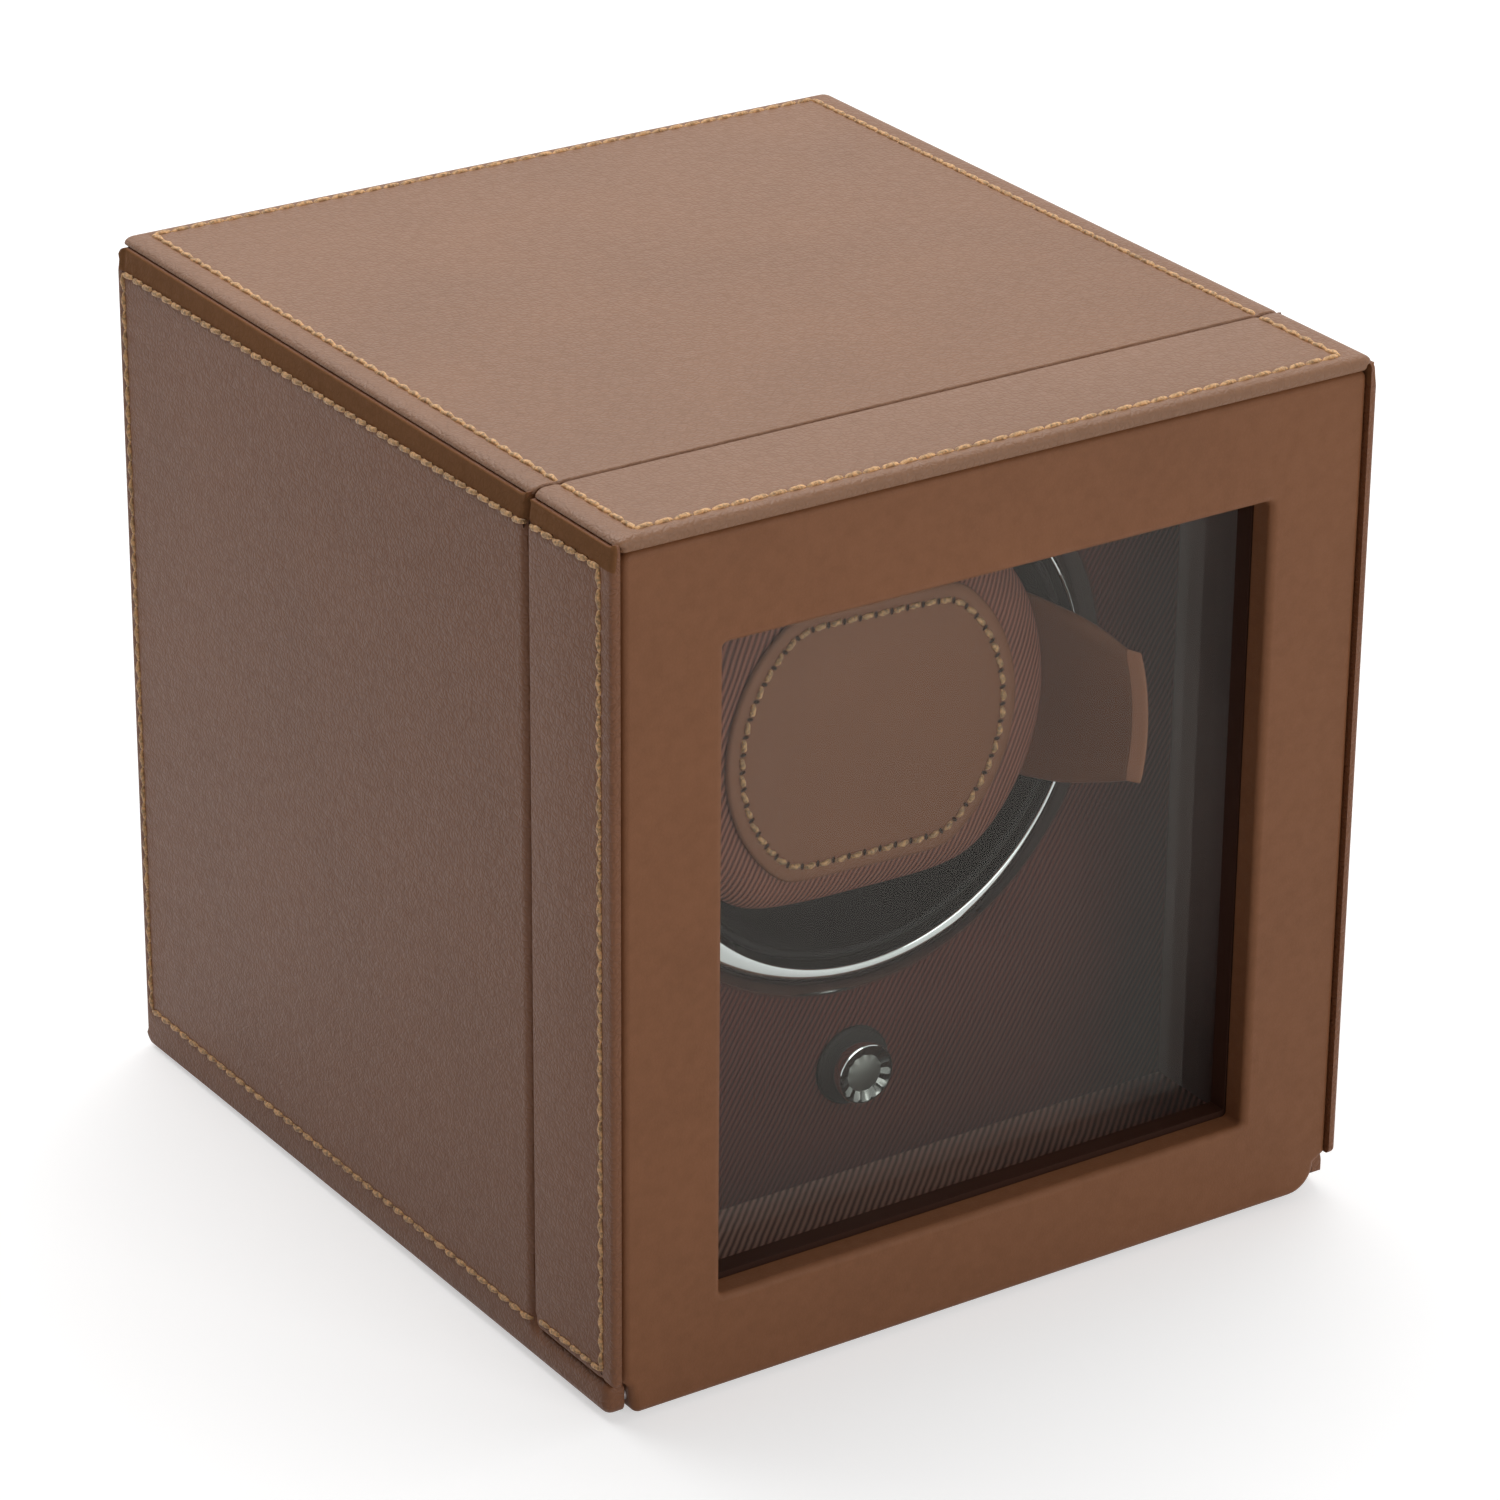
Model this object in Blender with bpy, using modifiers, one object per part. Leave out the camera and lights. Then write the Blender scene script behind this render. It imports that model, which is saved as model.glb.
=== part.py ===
"""Watch winder: a leather-covered case with a glazed cover that tilts forward, a drum turned
by a geared motor, and a padded cuff held in the drum. Metres, +Z up, front towards -Y.
The origin is under the middle of the case, on the surface that it stands on."""

import math

import bmesh
import bpy
from mathutils import Matrix, Vector

MM = 0.001

# Driving dimensions in millimetres. A depth is measured back from the front edge of the cover.
WIDTH = 139.0
DEPTH = 149.5
HEIGHT = 146.0
GAP = 0.3                    # between pieces that touch
COVER_DEPTH = 23.1
COVER_SEAM = 0.4             # between the cover and the case
BOARD_TOP = 2.3              # thickness of the top boards
SIDE_BOARD = 3.2
WING_BOARD = 1.5
SIDE_TOP = 144.6             # the side boards stop just below the rolled edge of the top
UNDERSIDE = 0.9              # lowest leather edge above the table
FOOT_HEIGHT = 1.0
FOOT_RADIUS = 6.0
PLINTH_TOP = 6.5             # the strip of side board that runs forward under each wing
PLINTH_FRONT = 2.0
EDGE_ROUND = 1.0

FRAME_FRONT = 0.6
FRAME_BACK = 5.2
FRAME_BOTTOM = 0.8
FRAME_EAR = 65.9             # half width of the frame between the plinth strips
FRAME_CORNER_LEFT = 2.4      # the leather is folded tighter round the left lower corner
FRAME_CORNER_RIGHT = 5.0
FRAME_ROUND = 1.3
WINDOW_HALF = 50.2
WINDOW_LOW = 17.8
WINDOW_HIGH = 126.2
GLASS_FRONT = 9.2
GLASS_BACK = 11.1
LINER_WALL = 4.3

HINGE_DEPTH = 3.4
HINGE_HEIGHT = 3.6
HINGE_PIN_RADIUS = 1.0

BASE_FRONT = 7.2
BASE_TOP = 5.4
LINING_TOP = 6.3
REAR_BOARD = 3.2
CASE_WALL = 3.0

FACE_FRONT = 39.0            # twill board that carries the drum and the knob
FACE_BACK = 42.0
FACE_HOLE = 41.5
DRUM_HEIGHT = 86.0
BEZEL_INNER = 40.0
BEZEL_OUTER = 46.5
BEZEL_LIP = 35.0
DRUM_OUTER = 39.4
DRUM_INNER = 37.8
DRUM_FRONT = 36.5
DRUM_FLOOR = 81.0
DRUM_BACK = 84.0
SHAFT_RADIUS = 3.0
SPIGOT_RADIUS = 6.5
SPIGOT_FRONT = 66.0

GEAR_MODULE = 0.8
GEAR_TEETH = 60
PINION_TEETH = 15
GEAR_FRONT = 87.0
GEAR_BACK = 92.0
PRESSURE_ANGLE = math.radians(20)
BACKLASH = 0.3
CHASSIS_FRONT = 96.0
CHASSIS_BACK = 99.0
MOTOR_HEIGHT = DRUM_HEIGHT + GEAR_MODULE * (GEAR_TEETH + PINION_TEETH) / 2

CUFF_TURN = 2.0              # degrees that the drum stands turned at rest
PATCH_RADIUS = 27.3
PATCH_FLAT = 22.9
PATCH_FRONT = 33.8
PATCH_BACK = 34.6
PAD_RADIUS = 35.4
PAD_NOTCH = 32.8
PAD_FLAT = 29.0
PAD_BACK = 41.0
PAD_SHOULDER = 38.9          # the cushion's side is straight behind this depth
PAD_TAB_ANGLES = (30.0, 37.0)    # where the drawn-in side swells out again, in degrees
PAD_SOFTNESS = 14            # lower makes the corners between side and flat softer
CORE_RADIUS = 31.0
CORE_FLAT = 26.0
CORE_BACK = 72.0
TAB_THICKNESS = 2.6
TAB_PIVOT_DEPTH = 62.0
TAB_PIVOT_RADIUS = 34.5

KNOB_HEIGHT = 25.7
KNOB_RADIUS = 5.2
KNOB_FRONT = 34.2
COLLAR_RADIUS = 6.8          # the dark ring on the face round the knob's shaft
COLLAR_FRONT = 37.8

CELL_RADIUS = 16.8
CELL_DEPTH = 129.0
CELL_HEIGHT = 26.2
DOOR_HALF = 60.6
DOOR_LOW = 9.9
DOOR_HIGH = 42.6
INLET_X = -48.0
INLET_HEIGHT = 60.0

POST_PLACES = ((-55.0, 15.0), (55.0, 15.0), (-55.0, 132.0), (55.0, 132.0))

LEATHER = ((0.16, 0.08, 0.045), 0.55, 0.0)
TWILL = ((0.07, 0.035, 0.03), 0.85, 0.0)
BLACK_PLASTIC = ((0.015, 0.014, 0.013), 0.45, 0.0)
CHROME = ((0.80, 0.80, 0.80), 0.08, 1.0)
STEEL = ((0.55, 0.55, 0.56), 0.35, 1.0)
BRASS = ((0.70, 0.50, 0.22), 0.35, 1.0)
NYLON = ((0.80, 0.79, 0.74), 0.50, 0.0)
RUBBER = ((0.02, 0.02, 0.02), 0.90, 0.0)
GLASS = ((0.75, 0.80, 0.80), 0.05, 0.0)
BOARD_GREEN = ((0.02, 0.13, 0.06), 0.45, 0.0)
CELL_CASE = ((0.08, 0.08, 0.09), 0.35, 0.6)

STEPS_LARGE = 56
STEPS_SMALL = 24


def clear_scene():
    for obj in list(bpy.data.objects):
        bpy.data.objects.remove(obj, do_unlink=True)


def new_collection(name):
    collection = bpy.data.collections.new(name)
    bpy.context.scene.collection.children.link(collection)
    return collection


clear_scene()
PARTS = new_collection("watch_winder")
CUTTERS = new_collection("cutters")


def place(x, depth, z):
    """A point given in millimetres across, back from the cover's front edge, and up."""
    return Vector((x, depth - DEPTH / 2, z)) * MM


def material(name, finish):
    colour, roughness, metallic = finish
    made = bpy.data.materials.new(name)
    made.use_nodes = True
    shader = made.node_tree.nodes["Principled BSDF"]
    shader.inputs["Base Color"].default_value = (*colour, 1.0)
    shader.inputs["Roughness"].default_value = roughness
    shader.inputs["Metallic"].default_value = metallic
    return made


def add_object(name, mesh, centre, finish):
    """Link a mesh as a part, or as a cutter when it has no finish."""
    obj = bpy.data.objects.new(name, mesh)
    obj.location = centre
    if finish is None:
        CUTTERS.objects.link(obj)
        obj.hide_render = True
        obj.display_type = "WIRE"
    else:
        PARTS.objects.link(obj)
        mesh.materials.append(material(name, finish))
    return obj


def box(name, x, depth, z, finish=None):
    """A box between pairs of limits, with its origin at its middle."""
    mesh = bpy.data.meshes.new(name)
    shape = bmesh.new()
    bmesh.ops.create_cube(shape, size=1.0)
    size = Vector((x[1] - x[0], depth[1] - depth[0], z[1] - z[0])) * MM
    bmesh.ops.scale(shape, vec=size, verts=shape.verts)
    shape.to_mesh(mesh)
    shape.free()
    centre = place((x[0] + x[1]) / 2, (depth[0] + depth[1]) / 2, (z[0] + z[1]) / 2)
    return add_object(name, mesh, centre, finish)


def axis_turn(facing):
    """The turn that takes a local +Z onto the X, Y or Z axis."""
    if facing == "X":
        return Matrix(((0, 0, 1), (1, 0, 0), (0, 1, 0))).to_4x4()
    if facing == "Y":
        return Matrix(((1, 0, 0), (0, 0, 1), (0, -1, 0))).to_4x4()
    return Matrix.Identity(4)


def rod(name, facing, centre, radius, low, high, finish=None, steps=STEPS_SMALL, tip_radius=None):
    """A cylinder or cone along an axis, from low to high on it, through a point in mm."""
    mesh = bpy.data.meshes.new(name)
    shape = bmesh.new()
    end = radius if tip_radius is None else tip_radius
    bmesh.ops.create_cone(shape, cap_ends=True, segments=steps, radius1=radius * MM,
                          radius2=end * MM, depth=(high - low) * MM)
    bmesh.ops.transform(shape, matrix=axis_turn(facing), verts=shape.verts)
    shape.to_mesh(mesh)
    shape.free()
    smooth(mesh)
    x, depth, z = centre
    middle = (low + high) / 2
    spot = {"X": (middle, depth, z), "Y": (x, middle, z), "Z": (x, depth, middle)}[facing]
    return add_object(name, mesh, place(*spot), finish)


def smooth(mesh):
    mesh.shade_smooth()
    mesh.set_sharp_from_angle(angle=math.radians(35))


def rounded(corners, arc_steps=4):
    """An outline from (u, v, radius) corners, each turned by an arc of its radius."""
    outline = []
    count = len(corners)
    for index, (u, v, radius) in enumerate(corners):
        corner = Vector((u, v))
        if radius == 0:
            outline.append((u, v))
            continue
        before = (Vector(corners[index - 1][:2]) - corner).normalized()
        after = (Vector(corners[(index + 1) % count][:2]) - corner).normalized()
        half = before.angle(after) / 2
        centre = corner + (before + after).normalized() * (radius / math.sin(half))
        start = corner + before * (radius / math.tan(half)) - centre
        end = corner + after * (radius / math.tan(half)) - centre
        sweep = start.angle_signed(end)
        for step in range(arc_steps + 1):
            turned = start.copy()
            turned.rotate(Matrix.Rotation(-sweep * step / arc_steps, 2))
            outline.append(tuple(centre + turned))
    return outline


def circle(u, v, radius, steps=STEPS_SMALL):
    turns = [2 * math.pi * step / steps for step in range(steps)]
    return [(u + radius * math.cos(turn), v + radius * math.sin(turn)) for turn in turns]


def plate(name, rings, facing, low, high, finish=None):
    """A flat outline with its holes, made solid from low to high along an axis.

    Facing X the outline is (depth, up), facing Y it is (across, up), facing Z (across, depth).
    """
    curve = bpy.data.curves.new(name, "CURVE")
    curve.dimensions = "2D"
    curve.fill_mode = "BOTH"
    curve.extrude = (high - low) / 2 * MM
    for ring in rings:
        spline = curve.splines.new("POLY")
        spline.points.add(len(ring) - 1)
        for point, (u, v) in zip(spline.points, ring):
            point.co = (u * MM, v * MM, 0.0, 1.0)
        spline.use_cyclic_u = True
    drawn = bpy.data.objects.new(name + "_outline", curve)
    bpy.context.scene.collection.objects.link(drawn)
    graph = bpy.context.evaluated_depsgraph_get()
    mesh = bpy.data.meshes.new_from_object(drawn.evaluated_get(graph))
    mesh.name = name
    bpy.data.objects.remove(drawn)

    shape = bmesh.new()
    shape.from_mesh(mesh)
    bmesh.ops.remove_doubles(shape, verts=shape.verts, dist=0.000001)
    bmesh.ops.dissolve_degenerate(shape, dist=0.000001, edges=shape.edges)
    if len(rings) == 1:
        bmesh.ops.dissolve_limit(shape, angle_limit=math.radians(0.5), verts=shape.verts,
                                 edges=shape.edges)
    middle = (low + high) / 2
    if facing == "X":
        turn = Matrix(((0, 0, 1), (1, 0, 0), (0, 1, 0))).to_4x4()
        centre = place(middle, 0, 0)
    elif facing == "Y":
        turn = Matrix(((1, 0, 0), (0, 0, -1), (0, 1, 0))).to_4x4()
        centre = place(0, middle, 0)
    else:
        turn = Matrix.Identity(4)
        centre = place(0, 0, middle)
    bmesh.ops.transform(shape, matrix=turn, verts=shape.verts)
    bmesh.ops.recalc_face_normals(shape, faces=shape.faces)
    shape.to_mesh(mesh)
    shape.free()
    return add_object(name, mesh, centre, finish)


def turned(name, profile, x, z, finish=None, steps=STEPS_LARGE, closed=True):
    """A turned piece about a front-to-back axis, from (radius, depth) points.

    The points run forward down the outer side, then back up the inner side if it is hollow.
    """
    mesh = bpy.data.meshes.new(name)
    shape = bmesh.new()
    verts = [shape.verts.new((radius * MM, 0.0, depth * MM)) for radius, depth in profile]
    for first, second in zip(verts, verts[1:]):
        shape.edges.new((first, second))
    if closed:
        shape.edges.new((verts[-1], verts[0]))
    shape.to_mesh(mesh)
    shape.free()
    spun = bpy.data.objects.new(name + "_profile", mesh)
    bpy.context.scene.collection.objects.link(spun)
    screw = spun.modifiers.new("Screw", "SCREW")
    screw.steps = steps
    screw.render_steps = steps
    screw.use_merge_vertices = True
    screw.merge_threshold = 0.000001
    graph = bpy.context.evaluated_depsgraph_get()
    result = bpy.data.meshes.new_from_object(spun.evaluated_get(graph))
    result.name = name
    bpy.data.objects.remove(spun)
    result.transform(axis_turn("Y"))
    smooth(result)
    return add_object(name, result, place(x, 0, z), finish)


def round_edges(obj, radius, chosen=None, segments=3):
    """Round the sharp edges, or those of them chosen by their middle and direction in mm."""
    weights = obj.data.attributes.new("bevel_weight_edge", "FLOAT", "EDGE")
    shape = bmesh.new()
    shape.from_mesh(obj.data)
    for edge in shape.edges:
        first, second = (vert.co for vert in edge.verts)
        sharp = edge.calc_face_angle(0.0) > math.radians(40)
        if sharp and (chosen is None or chosen((first + second) / 2 / MM, second - first)):
            weights.data[edge.index].value = 1.0
    shape.free()
    bevel = obj.modifiers.new("Bevel", "BEVEL")
    bevel.width = radius * MM
    bevel.segments = segments
    bevel.limit_method = "WEIGHT"


def change(obj, tool, operation):
    boolean = obj.modifiers.new(operation.title(), "BOOLEAN")
    boolean.operation = operation
    boolean.object = tool
    boolean.solver = "EXACT"


def cut(obj, *tools):
    for tool in tools:
        change(obj, tool, "DIFFERENCE")


def fuse(obj, *tools):
    for tool in tools:
        change(obj, tool, "UNION")


def axis_empty(name, x, depth, z):
    empty = bpy.data.objects.new(name, None)
    empty.empty_display_size = 0.01
    empty.location = place(x, depth, z)
    PARTS.objects.link(empty)
    return empty


def attach(empty, *objects):
    """Carry objects on an empty without moving them."""
    bpy.context.view_layer.update()
    for obj in objects:
        obj.parent = empty
        obj.matrix_parent_inverse = empty.matrix_world.inverted()


def mirror_name(side):
    return "left" if side < 0 else "right"


def span(side, inner, outer):
    """Limits across, from an inner to an outer distance on one side."""
    return (inner, outer) if side > 0 else (-outer, -inner)


# Case


def make_feet():
    for row, depth in (("front", 20.0), ("rear", DEPTH - 18.0)):
        for side in (-1, 1):
            rod(f"foot_{row}_{mirror_name(side)}", "Z", (side * 54.0, depth, 0), FOOT_RADIUS - 0.6,
                0.0, FOOT_HEIGHT, RUBBER, tip_radius=FOOT_RADIUS)


def make_side_panel(side):
    """The side board: a tall panel with a low strip that runs forward under the wing."""
    back = COVER_DEPTH + COVER_SEAM
    outline = rounded([(PLINTH_FRONT, UNDERSIDE, 1.2), (DEPTH, UNDERSIDE, 2.2),
                       (DEPTH, SIDE_TOP, 1.2), (back, SIDE_TOP, 0.5),
                       (back, PLINTH_TOP, 1.6), (PLINTH_FRONT, PLINTH_TOP, 1.2)])
    limits = span(side, WIDTH / 2 - SIDE_BOARD, WIDTH / 2)
    panel = plate(f"side_panel_{mirror_name(side)}", [outline], "X", *limits, finish=LEATHER)
    round_edges(panel, EDGE_ROUND, lambda mid, along: side * mid.x > 0.5 * SIDE_BOARD - 0.01)
    rebate = box(f"rebate_{mirror_name(side)}", span(side, 60.0, WIDTH / 2 - WING_BOARD),
                 (0.0, DEPTH + 5.0), (HEIGHT - BOARD_TOP - GAP, HEIGHT + 5.0))
    pin_hole = rod(f"pin_hole_{mirror_name(side)}", "X", (0, HINGE_DEPTH, HINGE_HEIGHT),
                   HINGE_PIN_RADIUS + GAP, *span(side, 60.0, WIDTH / 2 - 0.8))
    cut(panel, rebate, pin_hole)


def make_case_boards():
    inside = WIDTH / 2 - SIDE_BOARD - GAP
    rear = DEPTH - REAR_BOARD
    box("base_board", (-inside, inside), (BASE_FRONT, rear - GAP), (FOOT_HEIGHT + GAP, BASE_TOP),
        LEATHER)
    wall_inner = inside - CASE_WALL
    box("floor_lining", (GAP - wall_inner, wall_inner - GAP), (BASE_FRONT + 1.0, FACE_FRONT - GAP),
        (BASE_TOP + GAP, LINING_TOP), TWILL)

    top_half = WIDTH / 2 - WING_BOARD - GAP
    top = box("top_panel", (-top_half, top_half), (COVER_DEPTH + COVER_SEAM, DEPTH),
              (HEIGHT - BOARD_TOP, HEIGHT), LEATHER)
    round_edges(top, 1.3, lambda mid, along: mid.z > 0 and (mid.y > 0 or abs(along.x) < 0.01))

    ceiling = HEIGHT - BOARD_TOP - GAP
    shell = [(-inside, BASE_TOP + GAP), (-wall_inner, BASE_TOP + GAP),
             (-wall_inner, ceiling - CASE_WALL), (wall_inner, ceiling - CASE_WALL),
             (wall_inner, BASE_TOP + GAP), (inside, BASE_TOP + GAP),
             (inside, ceiling), (-inside, ceiling)]
    case = plate("inner_case", [shell], "Y", COVER_DEPTH + COVER_SEAM, rear - GAP, TWILL)
    for side in (-1, 1):
        pocket = box(f"case_magnet_pocket_{mirror_name(side)}", span(side, 63.5, 65.5),
                     (COVER_DEPTH, COVER_DEPTH + 2.7), (111.7, 124.3))
        cut(case, pocket)
        box(f"case_magnet_{mirror_name(side)}", span(side, 63.8, 65.2),
            (COVER_DEPTH + COVER_SEAM + 0.1, COVER_DEPTH + 2.4), (112.0, 124.0), STEEL)

    back = box("rear_panel", (-inside, inside), (rear, DEPTH), (FOOT_HEIGHT + GAP, ceiling), LEATHER)
    round_edges(back, 0.5, lambda mid, along: mid.y > 0)
    opening = box("battery_opening", (-DOOR_HALF - GAP, DOOR_HALF + GAP), (rear - 5.0, DEPTH + 5.0),
                  (DOOR_LOW - GAP, DOOR_HIGH + GAP))
    inlet_hole = rod("inlet_hole", "Y", (INLET_X, 0, INLET_HEIGHT), 4.4, rear - 5.0, DEPTH + 5.0)
    cut(back, opening, inlet_hole)


def make_hinge_pins():
    for side in (-1, 1):
        rod(f"hinge_pin_{mirror_name(side)}", "X", (0, HINGE_DEPTH, HINGE_HEIGHT),
            HINGE_PIN_RADIUS, *span(side, 58.5, WIDTH / 2 - 1.2), finish=STEEL)


# Cover


def make_front_frame():
    """The leather board round the window, with ears that drop between the plinth strips.

    Its rounded lower edge lets it roll clear of the table when the cover tilts forward.
    """
    wide = WIDTH / 2 - WING_BOARD - GAP
    top = HEIGHT - BOARD_TOP - GAP
    step = PLINTH_TOP + 0.5
    ear = FRAME_EAR - 0.6
    outline = [(-wide, top, 2.0), (-wide, step, 0.0), (-FRAME_EAR, step, 0.7),
               (-ear, FRAME_BOTTOM, FRAME_CORNER_LEFT), (ear, FRAME_BOTTOM, FRAME_CORNER_RIGHT),
               (FRAME_EAR, step, 0.7), (wide, step, 0.0), (wide, top, 2.0)]
    window = rounded([(-WINDOW_HALF, WINDOW_LOW, 0.8), (WINDOW_HALF, WINDOW_LOW, 0.8),
                      (WINDOW_HALF, WINDOW_HIGH, 0.8), (-WINDOW_HALF, WINDOW_HIGH, 0.8)])
    frame = plate("front_frame", [rounded(outline), window], "Y", FRAME_FRONT, FRAME_BACK, LEATHER)
    front = (FRAME_FRONT - FRAME_BACK) / 2 + 0.01
    round_edges(frame, FRAME_ROUND, lambda mid, along: mid.y < front)
    for side in (-1, 1):
        hole = rod(f"frame_pin_hole_{mirror_name(side)}", "X", (0, HINGE_DEPTH, HINGE_HEIGHT),
                   HINGE_PIN_RADIUS + GAP, *span(side, 58.0, 70.0))
        cut(frame, hole)
    return frame


def make_cover_boards():
    top_half = WIDTH / 2 - WING_BOARD - GAP
    top = box("cover_top", (-top_half, top_half), (0.0, COVER_DEPTH), (HEIGHT - BOARD_TOP, HEIGHT),
              LEATHER)
    round_edges(top, 1.1, lambda mid, along: mid.z > 0 and (mid.y < 0 or abs(along.x) < 0.01))
    pieces = [top]
    for side in (-1, 1):
        low = PLINTH_TOP + 0.4
        outline = rounded([(0.0, low, 0.8), (COVER_DEPTH, low, 2.0), (COVER_DEPTH, SIDE_TOP, 0.5),
                           (0.0, SIDE_TOP, 0.8)])
        limits = span(side, WIDTH / 2 - WING_BOARD, WIDTH / 2)
        wing = plate(f"cover_wing_{mirror_name(side)}", [outline], "X", *limits, finish=LEATHER)
        outer = WING_BOARD / 2 - 0.01
        round_edges(wing, 0.9, lambda mid, along, side=side: side * mid.x > outer)
        pieces.append(wing)
    return pieces


def make_cover_liner():
    """The black inner frame: a window with a rebate for the glass, side walls and a top wall."""
    half = WIDTH / 2 - WING_BOARD - GAP
    top = HEIGHT - BOARD_TOP - GAP
    liner = box("cover_liner", (-half, half), (FRAME_BACK + GAP, COVER_DEPTH), (PLINTH_TOP + 0.8, top),
                BLACK_PLASTIC)
    hollow = box("liner_hollow", (LINER_WALL - half, half - LINER_WALL),
                 (GLASS_BACK + GAP, COVER_DEPTH + 5.0), (-5.0, top - LINER_WALL))
    window = box("liner_window", (-WINDOW_HALF, WINDOW_HALF), (0.0, 18.0), (WINDOW_LOW, WINDOW_HIGH))
    lap = 3.2
    rebate = box("glass_rebate", (-WINDOW_HALF - lap, WINDOW_HALF + lap),
                 (GLASS_FRONT - GAP, GLASS_BACK + 2.0), (WINDOW_LOW - lap, WINDOW_HIGH + lap))
    cut(liner, hollow, window, rebate)
    pieces = [liner]
    for side in (-1, 1):
        pocket = box(f"cover_magnet_pocket_{mirror_name(side)}", span(side, 64.0, 67.0),
                     (20.6, COVER_DEPTH + 1.0), (111.7, 124.3))
        cut(liner, pocket)
        pieces.append(box(f"cover_magnet_{mirror_name(side)}", span(side, 64.3, 66.7),
                          (20.9, COVER_DEPTH - 0.1), (112.0, 124.0), STEEL))
    lap -= GAP
    glass = box("glass_pane", (-WINDOW_HALF - lap, WINDOW_HALF + lap), (GLASS_FRONT, GLASS_BACK),
                (WINDOW_LOW - lap, WINDOW_HIGH + lap), GLASS)
    pieces.append(glass)
    return pieces


def make_cover():
    axis = axis_empty("cover_axis", 0, HINGE_DEPTH, HINGE_HEIGHT)
    attach(axis, make_front_frame(), *make_cover_boards(), *make_cover_liner())


# Winding module


def make_module_face():
    """The twill-covered face, with posts for the chassis and pillars for the control board."""
    half = WIDTH / 2 - SIDE_BOARD - GAP - CASE_WALL - GAP
    top = HEIGHT - BOARD_TOP - GAP - CASE_WALL - GAP
    face = box("module_face", (-half, half), (FACE_FRONT, FACE_BACK), (BASE_TOP + GAP, top), TWILL)
    cut(face, rod("drum_hole", "Y", (0, 0, DRUM_HEIGHT), FACE_HOLE, 30.0, 50.0, steps=STEPS_LARGE))
    cut(face, rod("knob_hole", "Y", (0, 0, KNOB_HEIGHT), 2.8, 30.0, 50.0))
    for index, (x, z) in enumerate(POST_PLACES):
        post = rod(f"post_{index}", "Y", (x, 0, z), 4.5, FACE_BACK - 0.5, CHASSIS_FRONT - GAP,
                   steps=16)
        fuse(face, post)
        cut(face, rod(f"post_hole_{index}", "Y", (x, 0, z), 1.8, 84.0, CHASSIS_FRONT + 1.0,
                      steps=12))
    for index, x in enumerate((-19.0, 19.0)):
        fuse(face, rod(f"pillar_{index}", "Y", (x, 0, 15.0), 2.5, FACE_BACK - 0.5, 52.0))


def make_bezel():
    """The bright ring: a sleeve through the face and a lip that flares out over it."""
    turned("bezel_ring",
           [(FACE_HOLE - 0.4, FACE_BACK - 0.2), (FACE_HOLE - 0.4, FACE_FRONT - GAP),
            (BEZEL_OUTER, FACE_FRONT - GAP), (BEZEL_OUTER, 38.2), (44.6, 37.5), (42.3, 36.2),
            (41.0, BEZEL_LIP), (BEZEL_INNER + 0.3, BEZEL_LIP), (BEZEL_INNER, BEZEL_LIP + 0.4),
            (BEZEL_INNER, FACE_BACK - 0.2)], 0, DRUM_HEIGHT, CHROME)


def make_chassis():
    """The moulded bulkhead with a long bearing boss and ribs, screwed to the posts."""
    half = WIDTH / 2 - SIDE_BOARD - GAP - CASE_WALL - GAP
    top = HEIGHT - BOARD_TOP - GAP - CASE_WALL - GAP
    outline = rounded([(-half, 8.0, 3.0), (half, 8.0, 3.0), (half, top, 3.0), (-half, top, 3.0)])
    chassis = plate("chassis", [outline], "Y", CHASSIS_FRONT, CHASSIS_BACK, BLACK_PLASTIC)
    fuse(chassis, rod("bearing_boss", "Y", (0, 0, DRUM_HEIGHT), 9.0, CHASSIS_BACK - 0.5, 112.0))
    for index, side in enumerate((-1, 1)):
        rib = box(f"boss_rib_{index}", span(side, 7.0, 40.0), (CHASSIS_BACK - 0.5, 106.0),
                  (DRUM_HEIGHT - 1.2, DRUM_HEIGHT + 1.2))
        fuse(chassis, rib)
    cable_slot = plate("cable_slot", [rounded([(-14.0, 20.0, 3.0), (14.0, 20.0, 3.0),
                                               (14.0, 44.0, 3.0), (-14.0, 44.0, 3.0)])],
                       "Y", CHASSIS_FRONT - 2.0, CHASSIS_BACK + 2.0)
    cut(chassis, rod("bearing_bore", "Y", (0, 0, DRUM_HEIGHT), 5.3, 90.0, 120.0), cable_slot)
    holes = [(x, z, 1.8) for x, z in POST_PLACES]
    holes += [(0.0, MOTOR_HEIGHT, 2.6), (-12.0, MOTOR_HEIGHT, 1.7), (12.0, MOTOR_HEIGHT, 1.7)]
    for index, (x, z, radius) in enumerate(holes):
        cut(chassis, rod(f"chassis_hole_{index}", "Y", (x, 0, z), radius, CHASSIS_FRONT - 2.0,
                         CHASSIS_BACK + 2.0, steps=16))
    for index, (x, z) in enumerate(POST_PLACES):
        make_screw(f"chassis_screw_{index + 1}", x, z, CHASSIS_BACK + GAP, 1, 3.2, 1.5, 11.0)


def make_screw(name, x, z, seat, direction, head_radius, shank_radius, length):
    """A pan-head screw; direction +1 has its head towards the rear."""
    head = 2.0
    if direction > 0:
        profile = [(0, seat + head), (head_radius * 0.7, seat + head),
                   (head_radius, seat + head * 0.5), (head_radius, seat), (shank_radius, seat),
                   (shank_radius, seat - length + 1.0), (0, seat - length)]
    else:
        profile = [(0, seat + length), (shank_radius, seat + length - 1.0), (shank_radius, seat),
                   (head_radius, seat), (head_radius, seat - head * 0.5),
                   (head_radius * 0.7, seat - head), (0, seat - head)]
    turned(name, profile, x, z, STEEL, steps=12, closed=False)


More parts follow.
